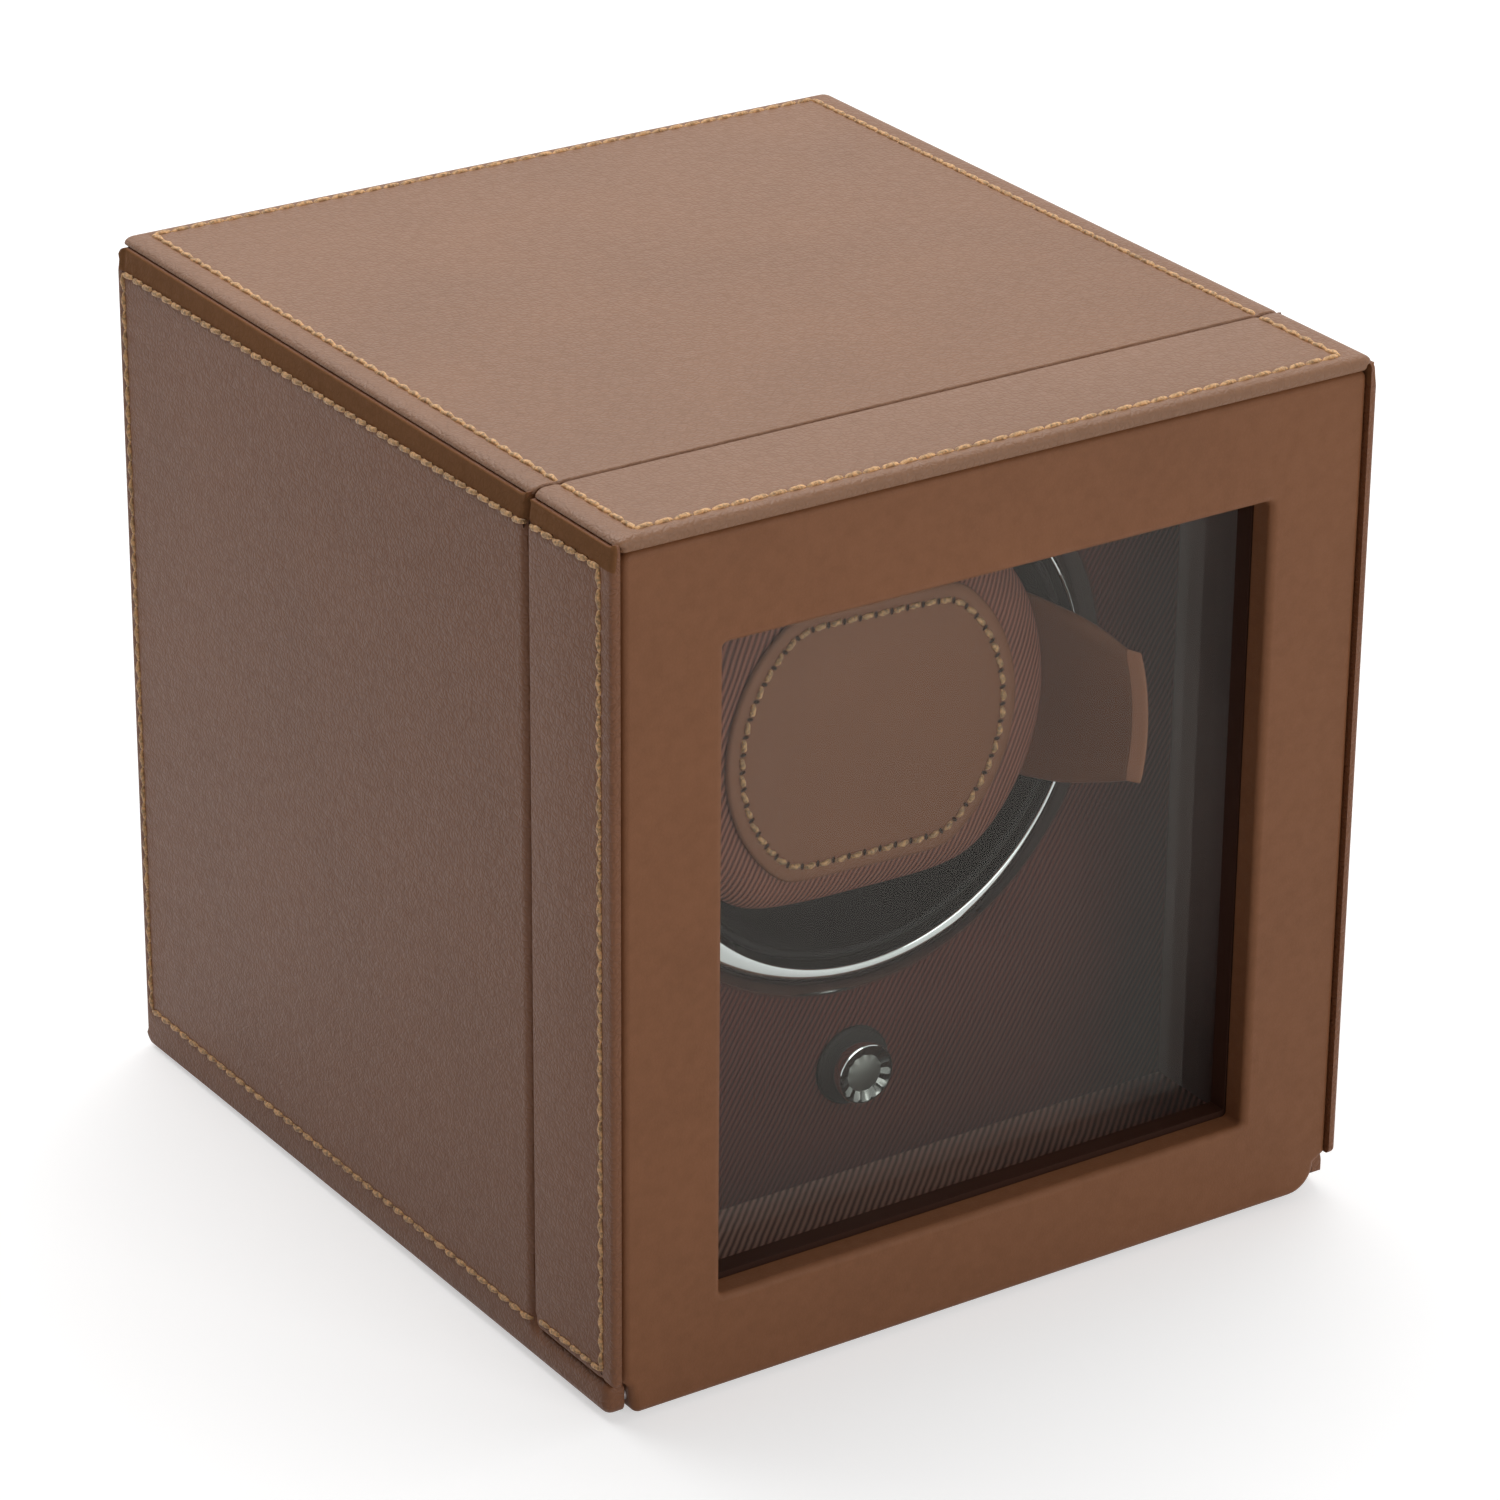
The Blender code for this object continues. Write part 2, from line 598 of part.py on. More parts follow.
def make_bushes():
    for name, flange, body in (("bush_front", (94.2, 95.7), (95.7, 101.0)),
                               ("bush_rear", (112.3, 113.8), (106.0, 112.3))):
        if name == "bush_front":
            profile = [(5.0, body[1]), (5.0, body[0]), (7.0, body[0]), (7.0, flange[0]),
                       (3.3, flange[0]), (3.3, body[1])]
        else:
            profile = [(7.0, flange[1]), (7.0, flange[0]), (5.0, flange[0]), (5.0, body[0]),
                       (3.3, body[0]), (3.3, flange[1])]
        turned(name, profile, 0, DRUM_HEIGHT, BRASS, steps=STEPS_SMALL)


def involute(angle):
    return math.tan(angle) - angle


def gear_outline(teeth, x, z, first_tooth):
    """Involute teeth with a little backlash; the first tooth's middle stands at first_tooth."""
    pitch = GEAR_MODULE * teeth / 2
    base = pitch * math.cos(PRESSURE_ANGLE)
    root = pitch - 1.25 * GEAR_MODULE
    tip = pitch + 0.85 * GEAR_MODULE
    half_at_pitch = math.pi / (2 * teeth) - BACKLASH / (4 * pitch)
    flank = []
    for radius in (root, max(root, base), pitch, tip):
        angle = math.acos(min(1.0, base / radius))
        half = half_at_pitch + involute(PRESSURE_ANGLE) - involute(angle)
        flank.append((radius, half))
    if base < root:
        flank.pop(1)
    outline = []
    for tooth in range(teeth):
        middle = first_tooth + 2 * math.pi * tooth / teeth
        rising = [(radius, middle - half) for radius, half in flank]
        falling = [(radius, middle + half) for radius, half in reversed(flank)]
        for radius, turn in rising + falling:
            outline.append((x + radius * math.cos(turn), z + radius * math.sin(turn)))
    return outline


def make_gears():
    """The drum gear on the drum's boss, and the motor pinion in mesh straight above it."""
    holes = [circle(0, DRUM_HEIGHT, 8.3)]
    for index in range(6):
        turn = math.radians(60 * index)
        holes.append(circle(15.5 * math.cos(turn), DRUM_HEIGHT + 15.5 * math.sin(turn), 4.2, 12))
    teeth = gear_outline(GEAR_TEETH, 0, DRUM_HEIGHT, math.radians(90))
    gear = plate("drum_gear", [teeth, *holes], "Y", GEAR_FRONT, GEAR_BACK, NYLON)

    half_pitch = math.pi / PINION_TEETH
    teeth = gear_outline(PINION_TEETH, 0, MOTOR_HEIGHT, math.radians(-90) + half_pitch)
    pinion = plate("motor_pinion", [teeth], "Y", GEAR_FRONT, GEAR_BACK, BRASS)
    fuse(pinion, rod("pinion_shaft", "Y", (0, 0, MOTOR_HEIGHT), 2.0, GEAR_FRONT - 0.8, 104.0))
    return gear, pinion


def make_motor():
    gearbox = rod("gearbox", "Y", (0, 0, MOTOR_HEIGHT), 18.5, CHASSIS_BACK + GAP, 119.0, STEEL,
                  steps=32)
    round_edges(gearbox, 1.2, lambda mid, along: mid.y > 0)
    cut(gearbox, rod("gearbox_bore", "Y", (0, 0, MOTOR_HEIGHT), 2.6, 90.0, 105.0))
    for index, x in enumerate((-12.0, 12.0)):
        cut(gearbox, rod(f"gearbox_tap_{index}", "Y", (x, 0, MOTOR_HEIGHT), 1.7, 90.0, 104.0,
                         steps=12))
        make_screw(f"gearbox_screw_{index + 1}", x, MOTOR_HEIGHT, CHASSIS_FRONT - GAP, -1, 2.8,
                   1.4, 7.0)
    can = rod("motor_can", "Y", (0, 0, MOTOR_HEIGHT), 12.5, 119.3, 141.0, STEEL, steps=32)
    round_edges(can, 2.0, lambda mid, along: mid.y > 0)


def make_controls():
    body = box("switch_body", (-7.0, 7.0), (FACE_BACK + GAP, 52.0),
               (KNOB_HEIGHT - 7.0, KNOB_HEIGHT + 7.0), BLACK_PLASTIC)
    cut(body, rod("switch_bore", "Y", (0, 0, KNOB_HEIGHT), 2.8, 40.0, 48.0))
    box("control_board", (-24.0, 24.0), (52.3, 53.9), (10.0, 44.5), BOARD_GREEN)
    turned("knob_collar",
           [(2.8, FACE_FRONT - GAP), (COLLAR_RADIUS, FACE_FRONT - GAP),
            (COLLAR_RADIUS, COLLAR_FRONT + 0.4), (COLLAR_RADIUS - 0.4, COLLAR_FRONT),
            (2.8, COLLAR_FRONT)], 0, KNOB_HEIGHT, BLACK_PLASTIC, steps=32)
    back = COLLAR_FRONT - 0.4
    knob = turned("control_knob",
                  [(0, 47.0), (2.4, 47.0), (2.4, back), (KNOB_RADIUS, back),
                   (KNOB_RADIUS, KNOB_FRONT + 0.5), (KNOB_RADIUS - 0.4, KNOB_FRONT),
                   (KNOB_RADIUS - 1.1, KNOB_FRONT), (KNOB_RADIUS - 1.6, KNOB_FRONT + 0.6),
                   (0, KNOB_FRONT + 1.1)], 0, KNOB_HEIGHT, CHROME, steps=32, closed=False)
    attach(axis_empty("knob_axis", 0, FACE_FRONT, KNOB_HEIGHT), knob)
    turned("dc_inlet",
           [(0, 148.4), (1.0, 148.4), (1.0, 141.0), (2.9, 141.0), (2.9, DEPTH - 0.2),
            (4.1, DEPTH - 0.2), (4.1, 146.0), (6.5, 146.0), (6.5, 136.0), (0, 136.0)],
           INLET_X, INLET_HEIGHT, BLACK_PLASTIC, steps=STEPS_SMALL, closed=False)


def make_power():
    holder = box("battery_holder", (-62.7, 62.7), (108.0, DEPTH - REAR_BOARD - GAP),
                 (BASE_TOP + GAP, 45.2), BLACK_PLASTIC)
    reach = CELL_RADIUS + 0.5
    cut(holder, box("holder_pocket", (-61.9, 61.9), (CELL_DEPTH - reach, DEPTH + 5.0),
                    (CELL_HEIGHT - reach, CELL_HEIGHT + reach)))
    for name, start in (("cell_left", -60.7), ("cell_right", 0.3)):
        cell = rod(name, "X", (0, CELL_DEPTH, CELL_HEIGHT), CELL_RADIUS, start, start + 58.9,
                   CELL_CASE, steps=28)
        round_edges(cell, 1.0, segments=2)
        fuse(cell, rod(name + "_nub", "X", (0, CELL_DEPTH, CELL_HEIGHT), 4.7, start + 58.0,
                       start + 60.4, steps=16))
    for side in (-1, 1):
        box(f"cell_contact_{mirror_name(side)}", span(side, 61.05, 61.55), (122.0, 136.0),
            (19.0, 33.0), BRASS)

    rear = DEPTH - REAR_BOARD
    outline = rounded([(-DOOR_HALF, DOOR_LOW, 1.5), (DOOR_HALF, DOOR_LOW, 1.5),
                       (DOOR_HALF, DOOR_HIGH, 1.5), (-DOOR_HALF, DOOR_HIGH, 1.5)])
    door = plate("battery_door", [outline], "Y", rear + 0.2, DEPTH - 0.3, BLACK_PLASTIC)
    scoop = rod("door_scoop", "Y", (0, 0, DOOR_HIGH - 2.0), 8.0, DEPTH - 1.8, DEPTH + 2.0)
    cut(door, scoop)
    attach(axis_empty("door_slide", 0, DEPTH, (DOOR_LOW + DOOR_HIGH) / 2), door)


# Drum and cuff


def make_drum():
    """The moulded cup: a thin wall, a floor with a spigot inside and a boss for the gear."""
    drum = turned("drum_cup",
                  [(8.0, 93.0), (8.0, DRUM_BACK), (DRUM_OUTER - 1.5, DRUM_BACK),
                   (DRUM_OUTER, DRUM_BACK - 1.5), (DRUM_OUTER, DRUM_FRONT),
                   (DRUM_INNER, DRUM_FRONT), (DRUM_INNER, DRUM_FLOOR - 1.5),
                   (DRUM_INNER - 1.5, DRUM_FLOOR), (SPIGOT_RADIUS, DRUM_FLOOR),
                   (SPIGOT_RADIUS, SPIGOT_FRONT), (SHAFT_RADIUS + GAP, SPIGOT_FRONT),
                   (SHAFT_RADIUS + GAP, 93.0)], 0, DRUM_HEIGHT, BLACK_PLASTIC)
    shaft = rod("drum_shaft", "Y", (0, 0, DRUM_HEIGHT), SHAFT_RADIUS, 70.0, 118.0, STEEL)
    clip = turned("shaft_clip", [(6.0, 115.3), (6.0, 114.2), (3.3, 114.2), (3.3, 115.3)],
                  0, DRUM_HEIGHT, STEEL, steps=STEPS_SMALL)
    return drum, shaft, clip


def flatted_circle(radius, half_flat, steps=14):
    """A circle cut by flats above and below."""
    limit = math.asin(half_flat / radius)
    side = []
    for step in range(steps + 1):
        turn = limit * (2 * step / steps - 1)
        side.append((radius * math.cos(turn), DRUM_HEIGHT + radius * math.sin(turn)))
    other = [(-x, 2 * DRUM_HEIGHT - z) for x, z in side]
    return side + other


def pad_reach(turn, inset):
    """Distance from the cuff's axis to the cushion's side, which is drawn in behind the tabs."""
    start, end = PAD_TAB_ANGLES
    aside = math.degrees(math.atan2(abs(math.sin(turn)), abs(math.cos(turn))))
    share = min(1.0, max(0.0, (aside - start) / (end - start)))
    swell = share * share * (3 - 2 * share)
    round_side = PAD_NOTCH + (PAD_RADIUS - PAD_NOTCH) * swell - inset
    flat_side = (PAD_FLAT - inset) / max(0.001, abs(math.sin(turn)))
    power = PAD_SOFTNESS
    return (round_side ** -power + flat_side ** -power) ** (-1 / power)


def make_pad():
    """The cushion: crowned in front, rolled at its rim, with drawn-in sides for the tabs."""
    front = PATCH_BACK + GAP
    profile = [(0.6, PAD_BACK), (0.0, PAD_BACK - 1.0), (0.0, PAD_SHOULDER), (0.4, front + 2.7),
               (1.4, front + 1.6), (2.9, front + 0.8), (5.0, front + 0.4), (9.0, front + 0.15),
               (18.0, front)]
    steps = 72
    shape = bmesh.new()
    rings = []
    for inset, depth in profile:
        ring = []
        for step in range(steps):
            turn = 2 * math.pi * step / steps
            reach = pad_reach(turn, inset)
            ring.append(shape.verts.new(place(reach * math.cos(turn), depth,
                                              reach * math.sin(turn))))
        rings.append(ring)
    for ring, following in zip(rings, rings[1:]):
        for step in range(steps):
            after = (step + 1) % steps
            shape.faces.new((ring[step], ring[after], following[after], following[step]))
    shape.faces.new(rings[0])
    shape.faces.new(rings[-1])
    bmesh.ops.recalc_face_normals(shape, faces=shape.faces)
    mesh = bpy.data.meshes.new("cuff_pad")
    shape.to_mesh(mesh)
    shape.free()
    smooth(mesh)
    return add_object("cuff_pad", mesh, Vector((0, 0, DRUM_HEIGHT * MM)), TWILL)


def make_cuff_body():
    patch = plate("cuff_patch", [flatted_circle(PATCH_RADIUS, PATCH_FLAT, 18)], "Y", PATCH_FRONT,
                  PATCH_BACK, LEATHER)
    round_edges(patch, 0.3, lambda mid, along: mid.y < 0 and abs(along.y) < 0.0001, segments=2)
    core = plate("cuff_core", [flatted_circle(CORE_RADIUS, CORE_FLAT)], "Y", PAD_BACK + GAP,
                 CORE_BACK, BLACK_PLASTIC)
    hollow = plate("core_hollow", [flatted_circle(CORE_RADIUS - 2.5, CORE_FLAT - 2.5)], "Y", 45.0,
                   CORE_BACK + 5.0)
    boss = rod("core_boss", "Y", (0, 0, DRUM_HEIGHT), 10.0, 44.0, 78.0)
    socket = rod("core_socket", "Y", (0, 0, DRUM_HEIGHT), SPIGOT_RADIUS + GAP, SPIGOT_FRONT - 2.0,
                 85.0)
    cut(core, hollow)
    fuse(core, boss)
    cut(core, socket)
    return patch, make_pad(), core


def make_tab(side):
    """A squeeze tab: a curved shell whose lip flares outwards, on a narrower spring arm."""
    stations = [(17.4, 42.2, 10.8), (19.5, 40.8, 10.9), (24.0, 38.9, 12.4), (30.0, 36.8, 14.6),
                (37.5, 34.7, 15.6), (39.5, 34.4, 15.6), (42.0, 34.2, 9.0), (52.0, 34.2, 8.0),
                (66.0, 34.2, 8.0)]
    across = 8
    name = f"cuff_tab_{mirror_name(side)}"
    mesh = bpy.data.meshes.new(name)
    shape = bmesh.new()
    rows = []
    for depth, radius, half in stations:
        row = []
        for step in range(across + 1):
            z = half * (2 * step / across - 1)
            x = side * math.sqrt(radius ** 2 - z ** 2)
            row.append(shape.verts.new(place(x, depth, z)))
        rows.append(row)
    for row, following in zip(rows, rows[1:]):
        for step in range(across):
            shape.faces.new((row[step], row[step + 1], following[step + 1], following[step]))
    bmesh.ops.recalc_face_normals(shape, faces=shape.faces)
    middle = shape.faces[across // 2]
    middle.normal_update()
    if middle.normal.x * side < 0:
        bmesh.ops.reverse_faces(shape, faces=shape.faces)
    shape.to_mesh(mesh)
    shape.free()
    smooth(mesh)
    tab = add_object(name, mesh, Vector((0, 0, DRUM_HEIGHT * MM)), LEATHER)
    shell = tab.modifiers.new("Solidify", "SOLIDIFY")
    shell.thickness = TAB_THICKNESS * MM
    shell.offset = 1.0
    fuse(tab, box(f"tab_foot_{mirror_name(side)}", span(side, CORE_RADIUS + GAP, 35.5),
                  (58.0, 65.0), (DRUM_HEIGHT - 6.0, DRUM_HEIGHT + 6.0)))
    axis = axis_empty(f"tab_axis_{mirror_name(side)}", side * TAB_PIVOT_RADIUS, TAB_PIVOT_DEPTH,
                      DRUM_HEIGHT)
    attach(axis, tab)
    return axis


def make_winding_train():
    gear, pinion = make_gears()
    drum_axis = axis_empty("drum_axis", 0, DRUM_FRONT, DRUM_HEIGHT)
    attach(drum_axis, *make_drum(), gear)
    attach(axis_empty("pinion_axis", 0, GEAR_FRONT, MOTOR_HEIGHT), pinion)
    cuff_axis = axis_empty("cuff_axis", 0, PATCH_FRONT, DRUM_HEIGHT)
    attach(drum_axis, cuff_axis)
    attach(cuff_axis, *make_cuff_body(), make_tab(-1), make_tab(1))
    cuff_axis.rotation_euler.y = math.radians(CUFF_TURN)


make_feet()
make_side_panel(-1)
make_side_panel(1)
make_case_boards()
make_hinge_pins()
make_cover()
make_module_face()
make_bezel()
make_chassis()
make_bushes()
make_motor()
make_controls()
make_power()
make_winding_train()
bpy.context.view_layer.update()
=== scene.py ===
"""Watch winder: the looks of a leather-covered case with a glazed cover and a driven drum."""
from math import cos, pi, radians, sin, sqrt, tan

import bmesh
import bpy
from mathutils import Matrix, Vector
from mathutils.noise import noise as smooth_noise


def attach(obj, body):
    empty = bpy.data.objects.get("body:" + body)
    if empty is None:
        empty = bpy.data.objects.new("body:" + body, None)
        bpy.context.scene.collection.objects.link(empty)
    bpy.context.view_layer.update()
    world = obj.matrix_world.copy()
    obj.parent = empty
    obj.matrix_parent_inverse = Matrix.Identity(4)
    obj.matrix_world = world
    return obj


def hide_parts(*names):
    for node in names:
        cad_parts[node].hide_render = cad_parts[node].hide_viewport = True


MM = 0.001

# The case's real sizes in millimetres. A depth is measured back from the cover's front edge.
WIDTH = 139.0
DEPTH = 149.5
HEIGHT = 146.0
GAP = 0.3
COVER_DEPTH = 23.1
CASE_FRONT = 23.5
BOARD_TOP = 2.3
SIDE_BOARD = 3.2
WING_BOARD = 1.5
SIDE_TOP = 144.6
UNDERSIDE = 0.9
PLINTH_TOP = 6.5
PLINTH_FRONT = 2.0
WING_LOW = 6.9

# How round the boards' corners and outer edges are
STRIP_CORNER = 1.8           # more than the edges', so that both fit
SIDE_ROUND = 1.7
REAR_ROUND = 0.8
WING_ROUND = 0.9
JOINT_ROUND = 0.5            # where the case and the cover meet

FRAME_FRONT = 0.6
FRAME_BACK = 5.2
FRAME_BOTTOM = 0.8
FRAME_EAR = 65.9
FRAME_CORNER_LEFT = 1.5
FRAME_CORNER_RIGHT = 5.0
FRAME_ROUND = 1.3
SHADOW_GAP = 0.75            # between the left wing and the front board
FRAME_FIT = 0.05             # and on its right
WINDOW_LEFT = 49.7
WINDOW_RIGHT = 50.4
WINDOW_LOW = 16.9
WINDOW_HIGH = 125.3

PANE_FRONT = 9.2
PANE_BACK = 11.1
FACE_FRONT = 39.0
FACE_BACK = 42.0
FACE_HOLE = 41.5
DRUM_HEIGHT = 86.0
BEZEL_OUTER = 46.5
BEZEL_LIP = 35.0
BEZEL_FOOT = 38.4
BEZEL_LIP_RADIUS = 40.6
DRUM_OUTER = 39.4
DRUM_INNER = 37.8
DRUM_FRONT = 36.5
DRUM_FLOOR = 81.0
DRUM_BACK = 84.0
SPIGOT_RADIUS = 6.5
SPIGOT_FRONT = 66.0
SHAFT_BORE = 3.3
HUB_BACK = 93.0

CUFF_TURN = 2.0
PATCH_RADIUS = 27.3
PATCH_FLAT = 22.9
PATCH_FRONT = 33.8
PATCH_BACK = 34.6
PATCH_SEAM = 2.6
PATCH_CORNER = 36.0          # the greater, the tighter the corners between flats and round ends
PATCH_PITCH = 2.95
PATCH_STEPS = 240
PAD_RADIUS = 35.4
PAD_FLAT = 29.0
PAD_CORNER = 16.0
TAB_THICKNESS = 2.6
KNOB_HEIGHT = 25.7

# Stitching
STITCH_PITCH = 3.28
STITCH_RADIUS = 0.49
HOLE_ALONG = 0.30
HOLE_ACROSS = 0.62
HOLE_SHIFT = 0.12
HOLE_HEIGHT = 0.06
SEAM_DEPTH = 0.22            # the leather is drawn in along a seam, out to the reach
SEAM_REACH = 1.1
SEAM_START = 0.6             # from the joint of case and cover
WING_SEAM_END = 1.4          # and at the foot of the wings
ON_LINE = 0.1                # a point this near a seam's line is on it
SIDE_SEAM_TOP = 140.4
SIDE_SEAM_REAR = 147.4
SIDE_SEAM_LOW = 7.4
TOP_SEAM = 63.8
TOP_SEAM_REAR = 147.2
WING_SEAM_TOP = 140.8
WING_SEAM_FRONT = 3.6
WING_SEAM_LOW = 8.6
COVER_SEAM_FRONT = 2.9

SIDE_WORDS = {-1: "left", 1: "right"}


def place(x, depth, z):
    """A point given in millimetres across, back from the cover's front edge, and up."""
    return Vector((x, depth - DEPTH / 2, z)) * MM


# Camera, set to the photograph's view

CAMERA_TARGET = Vector((0.001505, -0.003655, 0.068230))
CAMERA_DISTANCE = 0.95404
CAMERA_AZIMUTH = -33.58
CAMERA_ELEVATION = 24.881
CAMERA_ROLL = 0.471
CAMERA_LENS = 141.389


def make_camera():
    data = bpy.data.cameras.new("photo_camera")
    data.lens = CAMERA_LENS
    data.sensor_width = 36.0
    camera = link("photo_camera", data)
    turn, tilt = radians(CAMERA_AZIMUTH), radians(CAMERA_ELEVATION)
    back = Vector((sin(turn) * cos(tilt), -cos(turn) * cos(tilt),
                   sin(tilt)))
    camera.location = CAMERA_TARGET + back * CAMERA_DISTANCE
    level = (-back).to_track_quat("-Z", "Y").to_matrix()
    roll = Matrix.Rotation(radians(CAMERA_ROLL), 3, "Z")
    camera.rotation_euler = (level @ roll).to_euler()
    bpy.context.scene.camera = camera


# Shapes


ARC_STEPS = 8


def link(name, data):
    made = bpy.data.objects.new(name, data)
    bpy.context.scene.collection.objects.link(made)
    return made


def stand_in(piece, body, node):
    """Let a piece stand for a CAD node: put it on that node's body and hide the node."""
    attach(piece, body)
    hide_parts(node)


def finish_shape(name, shape, material, angle=40.0):
    """Turn a bmesh into a shaded object."""
    bmesh.ops.recalc_face_normals(shape, faces=shape.faces)
    mesh = bpy.data.meshes.new(name)
    shape.to_mesh(mesh)
    shape.free()
    mesh.shade_smooth()
    mesh.set_sharp_from_angle(angle=radians(angle))
    mesh.materials.append(material)
    return link(name, mesh)


def rounded(corners):
    """An outline from (u, v, radius) corners, each turned by an arc of its radius."""
    outline = []
    count = len(corners)
    for index, (u, v, radius) in enumerate(corners):
        corner = Vector((u, v))
        if radius == 0:
            outline.append((u, v))
            continue
        before = (Vector(corners[index - 1][:2]) - corner).normalized()
        after = (Vector(corners[(index + 1) % count][:2]) - corner).normalized()
        half = before.angle(after) / 2
        centre = corner + (before + after).normalized() * (radius / sin(half))
        start = corner + before * (radius / tan(half)) - centre
        end = corner + after * (radius / tan(half)) - centre
        sweep = start.angle_signed(end)
        for step in range(ARC_STEPS + 1):
            spoke = start.copy()
            spoke.rotate(Matrix.Rotation(-sweep * step / ARC_STEPS, 2))
            outline.append(tuple(centre + spoke))
    return outline


def angles(steps):
    """Evenly spread angles of a full turn."""
    return [2 * pi * step / steps for step in range(steps)]


def bands(shape, rings):
    """The faces between neighbouring rings that have as many points each."""
    for first, second in zip(rings, rings[1:]):
        for index in range(len(first)):
            after = (index + 1) % len(first)
            shape.faces.new((first[index], first[after], second[after], second[index]))


def loft(shape, rings):
    """A closed skin over rings that have as many points each."""
    bands(shape, rings)
    shape.faces.new(rings[0])
    shape.faces.new(rings[-1])


def extruded(outline, low, high):
    """A bmesh prism of a (depth, up) outline, from low to high across."""
    shape = bmesh.new()
    rings = [[shape.verts.new(place(x, depth, up)) for depth, up in outline] for x in (low, high)]
    for ring in rings:
        shape.faces.new(ring)
    bands(shape, rings)
    bmesh.ops.recalc_face_normals(shape, faces=shape.faces)
    return shape


def in_mm(point):
    """The reverse of place: across, depth and up in millimetres."""
    spot = point / MM
    spot.y += DEPTH / 2
    return spot


def bevel_where(shape, radius, chosen, segments=5):
    """Round the sharp edges whose middle, in mm, is chosen."""
    edges = [edge for edge in shape.edges if edge.calc_face_angle(0.0) > radians(30)
             and chosen(in_mm((edge.verts[0].co + edge.verts[1].co) / 2))]
    bmesh.ops.bevel(shape, geom=edges, offset=radius * MM, segments=segments, affect="EDGES",
                    profile=0.5, clamp_overlap=False)


def slice_at(shape, axis, values):
    """Cut the faces along planes across an axis, so that they can be pressed there."""
    normal = Vector([1.0 if letter == axis else 0.0 for letter in "XYZ"])
    for value in values:
        spot = place(0, value, 0) if axis == "Y" else normal * value * MM
        bmesh.ops.bisect_plane(shape, geom=shape.verts[:] + shape.edges[:] + shape.faces[:],
                               plane_co=spot, plane_no=normal, dist=1e-7)


def seam_cuts(middle):
    """Where faces are cut so that a seam's shallow channel has its shape."""
    return [middle + offset for offset in (-SEAM_REACH, -0.7, -0.35, 0.0, 0.35, 0.7, SEAM_REACH)]


def channel(distance):
    """How deep the leather is drawn in at a distance from a seam's line."""
    if abs(distance) >= SEAM_REACH:
        return 0.0
    return SEAM_DEPTH * (0.5 + 0.5 * cos(pi * distance / SEAM_REACH))


def press(shape, direction, chosen, depth_at):
    """Move the chosen points along a direction by a depth in mm read at each point."""
    for vert in shape.verts:
        spot = in_mm(vert.co)
        if chosen(spot):
            vert.co += direction * depth_at(spot) * MM


def turned(name, profile, material, steps):
    """A piece turned about the drum's axis, from a closed loop of (radius, depth) points."""
    shape = bmesh.new()
    rings = [[shape.verts.new(place(radius * cos(angle), depth,
                                    DRUM_HEIGHT + radius * sin(angle)))
              for angle in angles(steps)] for radius, depth in profile]
    bands(shape, [*rings, rings[0]])
    return finish_shape(name, shape, material, 30.0)


def arc_profile(centre, radius, start, end, steps):
    """Points on an arc in a (radius, depth) profile, angles in degrees."""
    points = []
    for step in range(steps + 1):
        angle = radians(start + (end - start) * step / steps)
        points.append((centre[0] + radius * cos(angle), centre[1] + radius * sin(angle)))
    return points


# Materials


def toned(colour, share=1.0):
    """A colour made darker or lighter by a share, with its alpha."""
    return (*(min(1.0, value * share) for value in colour), 1.0)


